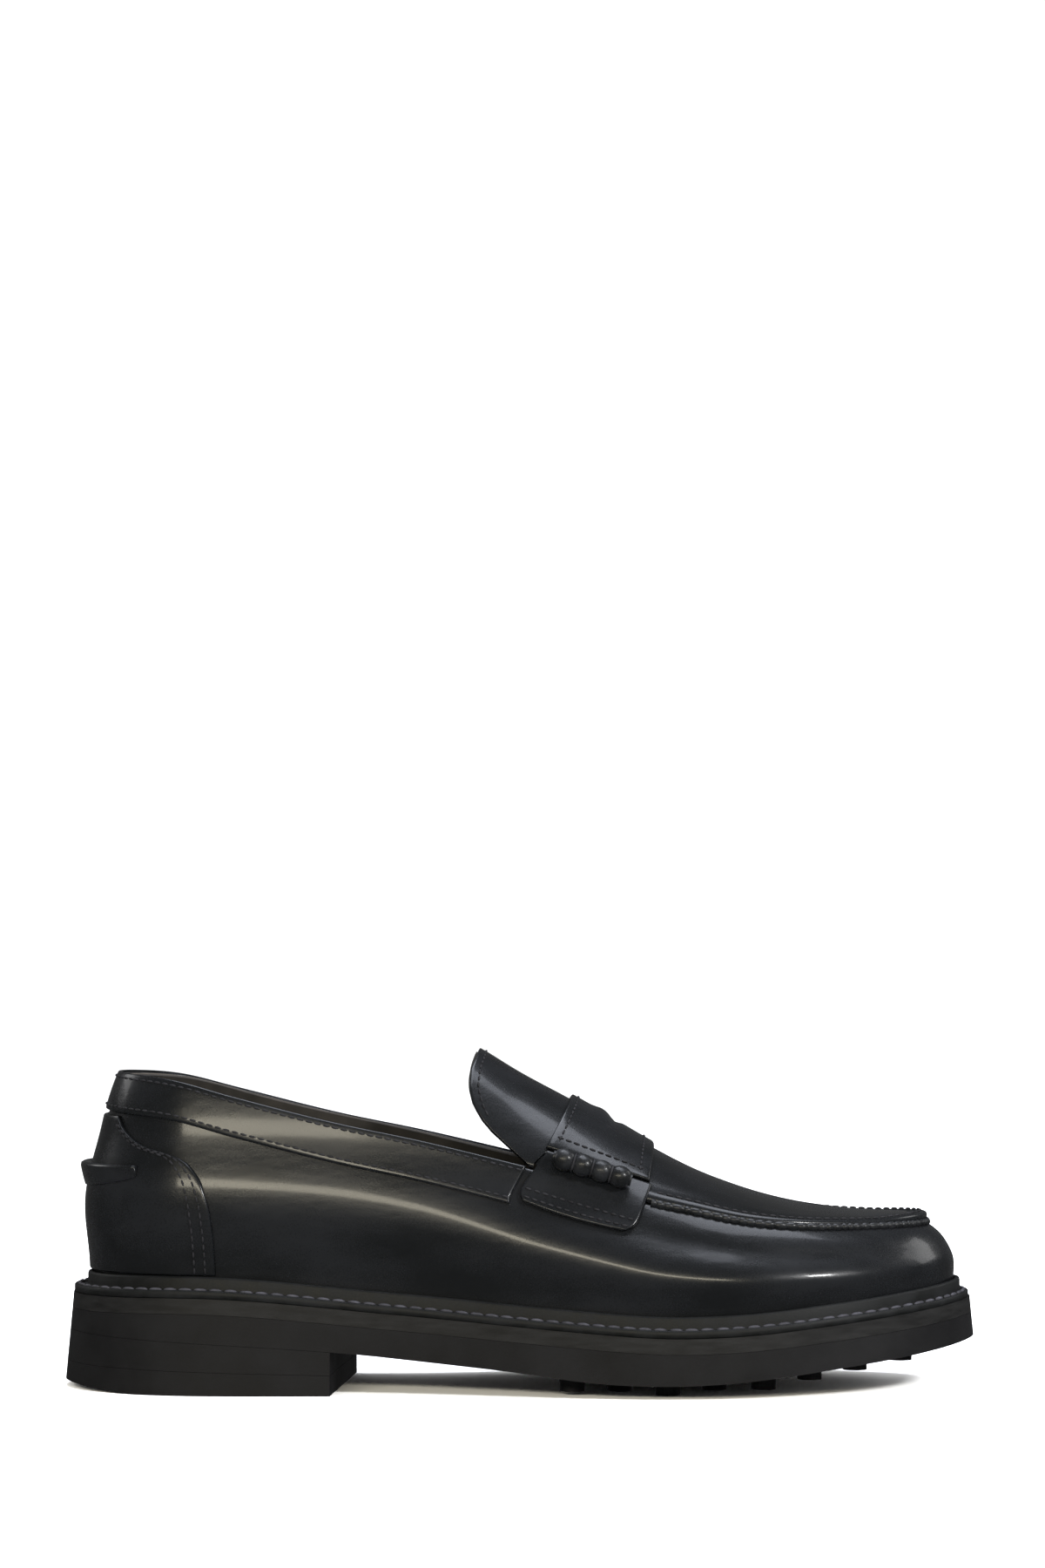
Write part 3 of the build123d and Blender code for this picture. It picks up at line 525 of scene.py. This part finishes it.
def tube(name: str, path: Array, radius: Array, finish: Finish, sides: int) -> bpy.types.Object:
    """Makes a round roll of leather along a path, its radius given at each point."""
    ahead = np.gradient(path, axis=0)
    ahead /= np.linalg.norm(ahead, axis=1, keepdims=True)
    across = np.cross(ahead, (0, 0, 1.0))
    across /= np.linalg.norm(across, axis=1, keepdims=True)
    up = np.cross(across, ahead)
    turn = np.linspace(0, 2 * np.pi, sides, endpoint=False)
    ring = across[:, None] * np.cos(turn)[:, None] + up[:, None] * np.sin(turn)[:, None]
    return loops(name, path[:, None] + ring * np.reshape(radius, (-1, 1, 1)), finish)


# ------------------------------------------------------------------ stitching


@dataclass
class Stitcher:
    """Sews rows of thread with one Geometry Nodes tree."""

    inputs: dict[str, str] = field(default_factory=dict)
    tree: bpy.types.NodeTree | None = None

    def build(self) -> None:
        """Builds the tree: a path is divided by the pitch, and each point gets one stitch along it."""
        tree = bpy.data.node_groups.new("stitch_row", "GeometryNodeTree")
        tree.interface.new_socket("Geometry", in_out="OUTPUT", socket_type="NodeSocketGeometry")
        tree.interface.new_socket("Path", in_out="INPUT", socket_type="NodeSocketGeometry")
        for name in ("Pitch", "Length", "Thickness"):
            socket = tree.interface.new_socket(name, in_out="INPUT", socket_type="NodeSocketFloat")
            self.inputs[name] = socket.identifier
        socket = tree.interface.new_socket("Thread", in_out="INPUT", socket_type="NodeSocketMaterial")
        self.inputs["Thread"] = socket.identifier
        source = add_node(tree, "NodeGroupInput").outputs
        curve = add_node(tree, "GeometryNodeMeshToCurve", {"Mesh": source["Path"]})
        spaced = add_node(
            tree, "GeometryNodeResampleCurve", {"Curve": curve.outputs[0], "Length": source["Pitch"]}, mode="LENGTH"
        )
        tangent = add_node(tree, "GeometryNodeInputTangent")
        turned = add_node(tree, "FunctionNodeAlignRotationToVector", {"Vector": tangent.outputs[0]}, axis="X")
        stitch = add_node(tree, "GeometryNodeMeshUVSphere", Segments=8, Rings=6, Radius=0.5)
        size = add_node(
            tree,
            "ShaderNodeCombineXYZ",
            {"X": source["Length"], "Y": source["Thickness"], "Z": source["Thickness"]},
        )
        shaped = add_node(tree, "GeometryNodeTransform", {"Geometry": stitch.outputs[0], "Scale": size.outputs[0]})
        row = add_node(
            tree,
            "GeometryNodeInstanceOnPoints",
            {"Points": spaced.outputs[0], "Instance": shaped.outputs[0], "Rotation": turned.outputs[0]},
        )
        real = add_node(tree, "GeometryNodeRealizeInstances", {"Geometry": row.outputs[0]})
        smooth = add_node(tree, "GeometryNodeSetShadeSmooth", {"Geometry": real.outputs[0]})
        dyed = add_node(
            tree, "GeometryNodeSetMaterial", {"Geometry": smooth.outputs[0], "Material": source["Thread"]}
        )
        add_node(tree, "NodeGroupOutput", {"Geometry": dyed.outputs[0]})
        self.tree = tree

    def sew(
        self,
        name: str,
        paths: Sequence[Array],
        pitch: float,
        thickness: float,
        body: str = SHOE,
        fill: float = 0.82,
        thread: Finish = THREAD,
    ) -> bpy.types.Object:
        """Sews one piece of thread rows.

        Args:
            name: the piece's name.
            paths: rows of points in millimetres.
            pitch: stitch spacing.
            thickness: thread thickness.
            body: the body that the rows ride on.
            fill: share of the pitch that shows thread.
            thread: finish of the thread.

        Returns:
            The stitches as one plain mesh.
        """
        points = np.concatenate(paths) * MM
        edges, start = [], 0
        for path in paths:
            edges += [(start + i, start + i + 1) for i in range(len(path) - 1)]
            start += len(path)
        mesh = bpy.data.meshes.new(name + "_path")
        mesh.from_pydata(points.tolist(), edges, [])
        guide = bpy.data.objects.new(name + "_path", mesh)
        bpy.context.scene.collection.objects.link(guide)
        modifier = guide.modifiers.new("stitch_row", "NODES")
        modifier.node_group = self.tree
        modifier[self.inputs["Pitch"]] = pitch * MM
        modifier[self.inputs["Length"]] = pitch * fill * MM
        modifier[self.inputs["Thickness"]] = thickness * MM
        modifier[self.inputs["Thread"]] = thread.material()
        graph = bpy.context.evaluated_depsgraph_get()
        plain = bpy.data.meshes.new_from_object(guide.evaluated_get(graph))
        plain.name = name
        bpy.data.objects.remove(guide)
        made = bpy.data.objects.new(name, plain)
        bpy.context.scene.collection.objects.link(made)
        log.info("%s: %d faces", name, len(plain.polygons))
        return place(made, body, "thread")


def place(obj: bpy.types.Object, body: str, slot: str, *nodes: str) -> bpy.types.Object:
    """Puts a piece on its body and hides the frame nodes that it stands for."""
    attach(obj, body)
    if nodes:
        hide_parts(*nodes)
    return obj


# ------------------------------------------------------------------ upper


@dataclass
class Walls:
    """The wall of the upper, the collar band, the counter cover and the folded heel tab."""

    thickness: float = 1.8
    layer_gap: float = 0.15
    overlay: float = 1.3
    drop: float = 6.6
    collar_depth: float = 13.2
    tab_half: float = 1.7
    tab_low: float = 66.0
    tab_high: float = 73.4
    tab_lip: float = 2.6
    saddle_edge: Edge = ((-2.8, 64.0), (5.0, 78.0), (9.4, 80.8))
    saddle_gap: float = 0.4
    cover_low: float = 38.4
    cover_high: float = 89.2
    collar_rows: tuple[float, ...] = (0.13, 0.86)
    cover_rows: tuple[float, ...] = (0.02, 0.045, 0.955, 0.98)
    cover_front: Curve = field(default_factory=lambda: Curve(
        (30, -98.5), (42, -98.8), (55, -99.9), (63.5, -101.6), (72, -105.5), (77, -112), (79, -120), (84, -128),
        (90, -131),
    ))  # fmt: skip

    def rim_height(self, p: Array, below: float = 0.0) -> Array:
        """Returns the height of the rim at places p, or of a line below it."""
        z = LAST.rim(LAST.foot(p)[..., 0]) - below
        for _ in range(4):
            z = LAST.rim(LAST.wall(p, z, 0.0)[..., 0]) - below
        return z

    def wall(self) -> bpy.types.Object:
        """Makes the one-piece wall, closed round the heel, with its lasted edge behind the welt."""
        columns = np.linspace(0, LAST.places, 481)[:-1]
        high = self.rim_height(columns)
        low = LAST.welt_top(LAST.foot(columns)[:, 0]) + LAST.bead_height - self.drop
        rise = np.concatenate([[0], np.linspace(0.1, 0.97, 40), [0.985, 0.995, 1.0]])
        sink = np.concatenate([np.zeros(41), [0.08, 0.3, 0.75]])
        z = low[:, None] + (high - low)[:, None] * rise
        outer = LAST.wall(columns[:, None], z, -sink)
        inner = LAST.wall(columns[:, None], z[:, ::-1], -self.thickness + 0 * z)
        return loops("wall_leather", np.concatenate([outer, inner], 1), BRUSHED_CALF, closed=True)

    def band_surface(self, u: Array, v: Array, off: Array) -> Array:
        """Collar band: u round the heel from the outer saddle edge to the inner, v up to the rim."""
        ends = []
        v_row = v[0]
        for side in (Side.OUTER, Side.INNER):
            z = 62 + 18 * v_row
            for _ in range(6):
                x = edge_x(z, self.saddle_edge) - self.saddle_gap
                z = LAST.rim(x) - self.collar_depth * (1 - v_row)
            ends.append(LAST.place_of(x, z, side))
        p = ends[0] + (ends[1] - LAST.places - ends[0]) * u
        top = self.rim_height(p)
        low = self.rim_height(p, self.collar_depth - 0.3)
        return LAST.wall(p, low + (top - low) * v, off)

    def cover_surface(self, u: Array, v: Array, off: Array) -> Array:
        """Counter cover: u round the heel between its two front edges, v up to the collar band."""
        z_row = self.cover_low + (self.cover_high - self.cover_low) * v[0]
        x = self.cover_front(z_row)
        ends = [LAST.place_of(x, z_row, side) for side in (Side.OUTER, Side.INNER)]
        p = ends[0] + (ends[1] - LAST.places - ends[0]) * u
        return LAST.wall(p, z_row + 0 * u, off)

    def tab(self) -> bpy.types.Object:
        """Makes the folded lip across the back of the heel."""
        rest = 2 * self.layer_gap + self.overlay - 0.15
        rings = []
        for p in np.linspace(self.tab_half, -self.tab_half, 61):
            fade = math.sqrt(1 - (p / (self.tab_half + 0.25)) ** 2)
            low = self.tab_high - fade * (self.tab_high - self.tab_low)
            out = 0.35 + self.tab_lip * fade
            # share of the tab's height, then a fixed and a growing part of how far it stands out
            fold = np.array([
                (0, 0, 0), (0, 0.5, 0), (0.25, 0.5, 0.3), (0.55, 0.4, 0.7), (0.78, 0.45, 0.95), (0.92, 0.4, 1),
                (1, 0.2, 0.8), (1, 0, 0),
            ])  # fmt: skip
            z = low + (self.tab_high - low) * fold[:, 0]
            rings.append(LAST.wall(np.full(len(fold), p), z, rest + fold[:, 1] + fold[:, 2] * out))
        return loops("heel_tab_fold", np.array(rings), BRUSHED_CALF)

    def build(self, stitcher: Stitcher) -> None:
        """Makes and places the pieces."""
        grain = self.layer_gap + self.overlay
        place(self.wall(), SHOE, "upper_leather", "vamp_wall")
        band = slab("collar_leather", self.band_surface, (330, 13), self.layer_gap, grain, BRUSHED_CALF)
        place(band, SHOE, "upper_leather", "collar_band")
        cover = slab("counter_leather", self.cover_surface, (120, 52), self.layer_gap, grain, BRUSHED_CALF)
        place(cover, SHOE, "upper_leather", "counter_cover")
        place(self.tab(), SHOE, "upper_leather", "heel_tab")
        run = np.linspace(0.004, 0.996, 420)
        over = grain + STITCH_RISE_MM
        rows = [
            self.band_surface(run[:, None], np.full((1, 1), v), over + 0 * run[:, None])[:, 0]
            for v in self.collar_rows
        ]
        stitcher.sew("collar_stitches", rows, 2.9, SEAM_THREAD_MM)
        climb = np.linspace(0.03, 0.93, 120)[None, :]
        sides = [self.cover_surface(np.full((1, 1), u), climb, over + 0 * climb)[0] for u in self.cover_rows]
        stitcher.sew("counter_stitches", sides, 2.6, 0.7)


@dataclass
class Front:
    """The apron and the gathered seam that joins it to the wall."""

    start: float = 34.0
    thickness: float = 1.8
    lip: float = 2.1
    least_breadth: float = 22.0
    pleat_pitch: float = 3.1
    spine_end: float = 96.0  # the middle line that the rows run in to, before it fades out
    spine_fade: float = 12.0
    spine_span: float = 40.0
    overlap: float = 0.2
    back: Edge = ((35.0, 52.6), (43.0, 70.0), (46.0, 84.0))
    crest: tuple[float, float, float] = (0.55, 1.6, 1.3)  # height, distance from the edge, width
    valley: tuple[float, float, float] = (0.35, 4.6, 1.4)
    seam_inset: float = 1.9

    def __post_init__(self) -> None:
        """Lays out the seam."""
        _, self.line = LAST.seam(self.start, 721)
        self.by_side = {}
        for side in Side:
            part = self.line[self.line[:, 1] * side.value > 0]
            self.by_side[side] = part[np.argsort(part[:, 0])]

    def height(self, x: Array, y: Array) -> Array:
        """Returns the height of the apron's grain side."""
        breadth = np.where(
            y < 0,
            np.interp(x, self.by_side[Side.OUTER][:, 0], -self.by_side[Side.OUTER][:, 1]),
            np.interp(x, self.by_side[Side.INNER][:, 0], self.by_side[Side.INNER][:, 1]),
        )
        breadth = np.maximum(breadth, self.least_breadth)
        last_ridge = along(0.89)
        ridge = LAST.ridge(np.minimum(x, last_ridge)) - 0.03 * np.maximum(0, x - last_ridge)
        return ridge - (ridge - LAST.rim(x) - self.lip) * (y / breadth) ** 2

    def surface(self, u: Array, v: Array, off: Array) -> Array:
        """Apron: u round the seam, v from the seam in to the middle line."""
        at = u * (len(self.line) - 1)
        x, y = (np.interp(at, np.arange(len(self.line)), self.line[:, k]) for k in (0, 1))
        spine = np.minimum(x, self.spine_end + self.spine_fade * np.clip((x - self.spine_end) / self.spine_span, 0, 1))
        size = np.maximum(np.hypot(x - spine, y), 1e-6)
        x, y = x + (x - spine) / size * self.overlap, y + y / size * self.overlap
        back = edge_x(self.height(x, y), self.back)
        x, y = x + (spine - x) * v, y * (1 - v)
        x = np.maximum(x, back)
        away = size * v
        crest, valley = (high * np.exp(-(((away - at) / wide) ** 2)) for high, at, wide in (self.crest, self.valley))
        z = self.height(x, y) + off + np.where(off > -1.0, crest - valley, 0)
        return np.stack([x, y, z], -1)

    def build(self, stitcher: Stitcher) -> None:
        """Makes and places the pieces."""
        apron = slab("apron_leather", self.surface, (260, 34), -self.thickness, 0.0, BRUSHED_CALF, 1.3, 0.8)
        place(apron, SHOE, "upper_leather", "apron")
        length = np.concatenate([[0], np.cumsum(np.linalg.norm(np.diff(self.line, axis=0), axis=1))])
        draw = np.random.default_rng(7)
        pleats = np.cumsum(draw.uniform(0.7, 1.3, int(length[-1] / self.pleat_pitch) + 8) * self.pleat_pitch)
        fine = np.linspace(length[0] + 9, length[-1] - 9, 1500)
        line = np.stack([np.interp(fine, length, self.line[:, k]) for k in range(3)], -1)
        phase = np.interp(fine, pleats, np.arange(len(pleats)))
        swell = np.abs(np.sin(np.pi * phase)) ** 0.7
        band = tube("gathered_edge", line + (0, 0, 0.35), 0.95 + 0.42 * swell, FOLDED_CALF, 12)
        place(band, SHOE, "upper_leather")
        middle = np.array([60.0, 0.0])
        inward = middle - line[:, :2]
        inward /= np.linalg.norm(inward, axis=1, keepdims=True)
        path = line.copy()
        path[:, :2] += inward * self.seam_inset
        path[:, 2] = self.height(path[:, 0], path[:, 1]) + 0.6
        stitcher.sew("apron_stitches", [path[path[:, 0] > 45.5]], 3.1, SEAM_THREAD_MM)


@dataclass
class Saddle:
    """The strap with its slot, the tabs at its ends and the bound rolls between them."""

    under: float = 0.5
    thickness: float = 1.5
    line: Edge = ((8.3, 79.0), (46.0, 66.6))
    rear: Edge = ((6.9, 76.0), (9.4, 80.8), (20.5, 99.0))
    front: Edge = ((41.5, 64.0), (42.6, 70.0), (45.6, 84.0))
    tab_top: Edge = ((9.0, 78.3), (43.0, 67.1))
    tab_foot: Edge = ((-2.6, 62.9), (36.5, 51.8))
    slot_at: float = 31.5
    slot_width: float = 1.6
    slot_half: float = 15.0
    slot_depth: float = 1.0
    lip_at: float = 27.5
    lip_width: float = 2.6
    lip_half: float = 14.0
    lip_rise: float = 0.9
    roll_ends: Edge = ((11.5, 74.5), (35.5, 66.4))
    roll_radius: float = 3.4
    roll_neck: float = 2.1
    bulges: int = 4

    def strap_surface(self, u: Array, v: Array, off: Array) -> Array:
        """Strap: u over the foot from the outer end to the inner, v from the rear edge to the front."""
        s = 2 * u - 1
        x = 20 + 24 * v
        z = np.full_like(x, 85.0)
        for _ in range(12):
            line = np.interp(x, *zip(*self.line)) + 0.3
            lower = np.where(s < 0, LAST.spread(x, line, Side.OUTER), LAST.spread(x, line, Side.INNER))
            w = s * lower
            z = LAST.arch(x, w, 0.0)[..., 2]
            rear, front = edge_x(z, self.rear), edge_x(z, self.front)
            x = 0.5 * x + 0.5 * (rear + (front - rear) * v)
        # the slot: a lip raised behind a straight cut
        point = LAST.arch(x, w, off)
        cut = np.exp(-(((x - self.slot_at) / self.slot_width) ** 2)) * (np.abs(point[..., 1]) < self.slot_half)
        middle = np.clip(1 - (point[..., 1] / self.lip_half) ** 2, 0, 1)
        crest = np.exp(-(((x - self.lip_at) / self.lip_width) ** 2)) * middle
        grain = off > self.under + 0.2
        point[..., 2] += np.where(grain, self.lip_rise * crest - self.slot_depth * cut, 0)
        return point

    def tab_surface(self, side: Side) -> Surface:
        """Returns the tab's surface on one side: u from rear to front, v from its top to its lower edge."""

        def surface(u: Array, v: Array, off: Array) -> Array:
            """Tab: corners are rounded by pulling them in."""
            a, b = 2 * u - 1, 2 * v - 1
            soft = 0.17 * np.clip(b, 0, 1) ** 2
            a, b = a * (1 - soft * b**2), b * (1 - 0.10 * a**2 * np.clip(b, 0, 1))
            u, v = (a + 1) / 2, (b + 1) / 2
            tops, feet = (
                [start + (end - start) * u for start, end in zip(*line)] for line in (self.tab_top, self.tab_foot)
            )
            x, z = (top * (1 - v) + foot * v for top, foot in zip(tops, feet))
            return LAST.arch(x, side.value * LAST.spread(x, z, side), off)

        return surface

    def roll_axis(self, side: Side, t: Array, rise: float) -> Array:
        """Returns points on the roll's axis."""
        x, z = (self.roll_ends[0][k] + (self.roll_ends[1][k] - self.roll_ends[0][k]) * t for k in (0, 1))
        return LAST.arch(x, side.value * LAST.spread(x, z, side), np.full_like(t, rise))

    def roll(self, side: Side) -> bpy.types.Object:
        """Makes one roll: leather that swells between its bindings."""
        t = np.linspace(-0.03, 1.03, 130)
        path = self.roll_axis(side, t, self.under + self.thickness + 0.15 + self.roll_radius)
        swell = np.abs(np.sin(np.pi * self.bulges * np.clip(t, 0, 1))) ** 0.55
        radius = self.roll_neck - 0.1 + (self.roll_radius + 0.35 - self.roll_neck) * swell
        return tube(f"roll_leather_{side.name.lower()}", path, radius, FOLDED_CALF, 28)

    def build(self, stitcher: Stitcher) -> None:
        """Makes and places the pieces."""
        grain = self.under + self.thickness
        strap = slab("strap_leather", self.strap_surface, (80, 25), self.under, grain, BRUSHED_CALF, 0.9, 0.7)
        place(strap, SHOE, "saddle_leather", "saddle_strap")
        run = np.linspace(0.05, 0.95, 200)[:, None]
        over = grain + STITCH_RISE_MM
        rows = [self.strap_surface(run, np.full((1, 1), v), over + 0 * run)[:, 0] for v in (0.1, 0.9)]
        across = np.linspace(0.1, 0.9, 60)[None, :]
        rows += [self.strap_surface(np.full((1, 1), u), across, over + 0 * across)[0] for u in (0.05, 0.95)]
        names = {Side.OUTER: "lateral", Side.INNER: "medial"}
        for side, name in names.items():
            surface = self.tab_surface(side)
            tab = slab(f"tab_leather_{name}", surface, (40, 18), self.under, grain, BRUSHED_CALF, 1.0, 0.7)
            place(tab, SHOE, "saddle_leather", f"saddle_tab_{name}")
            place(self.roll(side), SHOE, "roll_leather", f"beef_roll_{name}")
            edge = np.linspace(0.06, 0.94, 90)[:, None]
            rows += [surface(edge, np.full((1, 1), v), over + 0 * edge)[:, 0] for v in (0.74, 0.9)]
        stitcher.sew("saddle_stitches", rows, 2.7, SEAM_THREAD_MM)


@dataclass
class Tongue:
    """The lifting tongue, from its root under the saddle's rear edge to its rim."""

    thickness: float = 1.8
    front: Edge = (
        (4.6, 74.9), (6.5, 77.0), (9.1, 78.2), (10.1, 80.8), (18.6, 94.6),
    )  # fmt: skip
    rim: Edge = (
        (3.0, 74.5), (-3.3, 80), (-11.3, 87.3), (-15.3, 94), (-16.7, 99.5), (-16.0, 105), (-12.5, 113),
    )  # fmt: skip

    def surface(self, u: Array, v: Array, off: Array) -> Array:
        """Tongue: u over the foot, v from the root back to the rim."""
        s = 2 * u - 1
        x = 18 - 30 * v
        for _ in range(14):
            line = LAST.rim(x) + 0.6
            lower = np.where(s < 0, LAST.spread(x, line, Side.OUTER), LAST.spread(x, line, Side.INNER))
            w = s * lower
            z = LAST.arch(x, w, 0.0)[..., 2]
            front, rim = edge_x(z, self.front), edge_x(z, self.rim)
            x = 0.5 * x + 0.5 * (front + (rim - front) * v)
        return LAST.arch(x, w, off)

    def build(self, stitcher: Stitcher) -> None:
        """Makes and places the tongue and its stitches."""
        leather = slab("tongue_leather", self.surface, (70, 34), -self.thickness, 0.0, BRUSHED_CALF, 1.2, 0.8)
        place(leather, FLAP, "upper_leather", "tongue")
        run = np.linspace(0.09, 0.91, 200)[:, None]
        row = self.surface(run, np.full((1, 1), 0.91), STITCH_RISE_MM + 0 * run)[:, 0]
        stitcher.sew("tongue_stitches", [row], 2.7, SEAM_THREAD_MM, FLAP)


# ------------------------------------------------------------------ bottom


@dataclass
class Welt:
    """The storm welt: a flange on the midsole and a bead up the wall, sewn round the whole shoe."""

    thickness: float = 2.7
    bead: float = 1.7
    inside: float = 0.3
    groove_in: float = 2.35
    flange: Curve = field(default_factory=lambda: shares((0, 6.4), (0.2, 5.6), (0.5, 5.2), (0.9, 4.9), (1, 4.8)))
    thread_inset: float = 1.6

    def build(self, stitcher: Stitcher) -> None:
        """Makes and places the welt and its seam."""
        p = np.linspace(0, LAST.places, 721)[:-1]
        x = LAST.foot(p)[:, 0]
        edge = self.flange(x)
        top = LAST.welt_top(x)
        bead = self.inside + self.bead
        high = LAST.bead_height
        profile = [
            (self.inside, -self.thickness), (self.inside, high - 0.7), (self.inside + 0.35, high - 0.15),
            (self.inside + 0.85, high), (bead - 0.3, high - 0.2), (bead, high - 0.8), (bead + 0.05, 0.7),
            (bead + 0.25, 0.1), (self.groove_in, -0.35), (None, -0.6), (None, -0.05), (None, 0.0), (None, -0.4),
            (None, -self.thickness + 0.3), (None, -self.thickness),
        ]  # fmt: skip
        from_edge = [1.6, 0.8, 0.4, 0.0, 0.0, 0.25]
        rings = []
        for reach, rise in profile:
            out = np.full_like(x, reach) if reach is not None else edge - from_edge.pop(0)
            rings.append(np.concatenate([LAST.foot(p, out), (top + rise)[:, None]], 1))
        welt = loops("welt_leather", np.stack(rings, 1), WELT, closed=True)
        place(welt, SHOE, "welt_leather", "storm_welt")
        out = np.append(edge - self.thread_inset, edge[0] - self.thread_inset)
        level = np.append(top, top[0])[:, None] - 0.05
        path = np.concatenate([LAST.foot(np.append(p, LAST.places), out), level], 1)
        seam = stitcher.sew("welt_stitches", [path], 5.0, 1.35, fill=0.9, thread=WELT_THREAD)
        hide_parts("welt_thread")


# ------------------------------------------------------------------ studio


# Soft boxes: name, place, aim, size, watts and tint
SOFT_BOXES = (
    ("overhead", (0.1, 0.1, 1.3), (0, 0, 0.05), (1.1, 0.7), 34, "#eef3ff"),
    ("side_key", (-0.3, -1.4, 0.5), (-0.02, 0, 0.07), (1.2, 0.13), 26, "#f4ecd6"),
    ("toe_kicker", (1.0, -1.0, 0.8), (0.1, 0, 0.05), (0.22, 0.2), 34, "#ffffff"),
    ("back_left", (-1.5, 0.6, 0.9), (0, 0, 0.05), (0.7, 0.7), 10, "#ffffff"),
    ("back_right", (1.5, 0.5, 0.9), (0, 0, 0.05), (0.7, 0.7), 10, "#ffffff"),
)


@dataclass
class Studio:
    """Pale sweep, soft boxes and a level camera on the outer side of the shoe, in metres and millimetres of lens."""

    camera_at: tuple[float, float, float] = (0.00093, -1.9, 0.198)
    lens: float = 132.1
    room_light: float = 0.92
    room_reflection: float = 0.13

    def sweep(self) -> None:
        """Makes the floor that curves up into a backdrop."""
        turn = np.linspace(0, np.pi / 2, 17)
        curve = [(-4.0, 0.0), *[(2.5 + math.sin(a), 1 - math.cos(a)) for a in turn], (3.5, 4.0)]
        points = [(x, y, z) for y, z in curve for x in (-6.0, 6.0)]
        faces = [(2 * i, 2 * i + 1, 2 * i + 3, 2 * i + 2) for i in range(len(curve) - 1)]
        mesh = bpy.data.meshes.new("sweep")
        mesh.from_pydata(points, [], faces)
        mesh.polygons.foreach_set("use_smooth", [True] * len(faces))
        paper = bpy.data.materials.new("white_paper")
        paper.use_nodes = True
        shader = paper.node_tree.nodes["Principled BSDF"]
        shader.inputs["Base Color"].default_value = linear("#fafafa")
        shader.inputs["Roughness"].default_value = 0.9
        mesh.materials.append(paper)
        floor = bpy.data.objects.new("sweep", mesh)
        bpy.context.scene.collection.objects.link(floor)
        floor.visible_glossy = False

    def softbox(self, name: str, at: tuple, aim: tuple, size: tuple, power: float, tint: str) -> None:
        """Hangs one soft box."""
        light = bpy.data.lights.new(name, "AREA")
        light.shape, light.size, light.size_y = "RECTANGLE", size[0], size[1]
        light.energy = power
        light.color = linear(tint)[:3]
        made = bpy.data.objects.new(name, light)
        made.location = at
        made.rotation_euler = (Vector(aim) - Vector(at)).to_track_quat("-Z", "Y").to_euler()
        bpy.context.scene.collection.objects.link(made)

    def surround(self) -> None:
        """Fills the room with white light that polished leather sees only faintly."""
        world = bpy.data.worlds.new("studio")
        world.use_nodes = True
        tree = world.node_tree
        path = add_node(tree, "ShaderNodeLightPath")
        strength = add_node(
            tree,
            "ShaderNodeMapRange",
            {"Value": path.outputs["Is Glossy Ray"]},
            To_Min=self.room_light,
            To_Max=self.room_reflection,
        )
        background = tree.nodes["Background"]
        background.inputs["Color"].default_value = (1, 1, 1, 1)
        tree.links.new(strength.outputs[0], background.inputs["Strength"])
        bpy.context.scene.world = world

    def build(self) -> None:
        """Sets floor, lights, world and camera."""
        self.sweep()
        for box in SOFT_BOXES:
            self.softbox(*box)
        self.surround()
        bpy.context.scene.view_settings.view_transform = "Standard"
        camera = bpy.data.objects.new("camera", bpy.data.cameras.new("camera"))
        camera.data.lens = self.lens
        camera.location = self.camera_at
        camera.rotation_euler = (math.pi / 2, 0, 0)
        bpy.context.scene.collection.objects.link(camera)
        bpy.context.scene.camera = camera


def dress_nodes(frame: dict) -> None:
    """Gives every frame node that stays its finish."""
    for finish, names in NODE_FINISHES.items():
        for name in names:
            mesh = frame["nodes"][name].data
            mesh.materials.clear()
            mesh.materials.append(finish.material())
    log.info("dressed %d frame nodes", sum(len(names) for names in NODE_FINISHES.values()))


def main() -> None:
    """Builds the shoe and the studio."""
    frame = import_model()
    dress_nodes(frame)
    stitcher = Stitcher()
    stitcher.build()
    for assembly in (Walls(), Front(), Saddle(), Tongue(), Welt()):
        assembly.build(stitcher)
    Studio().build()


if __name__ == "__main__":
    main()
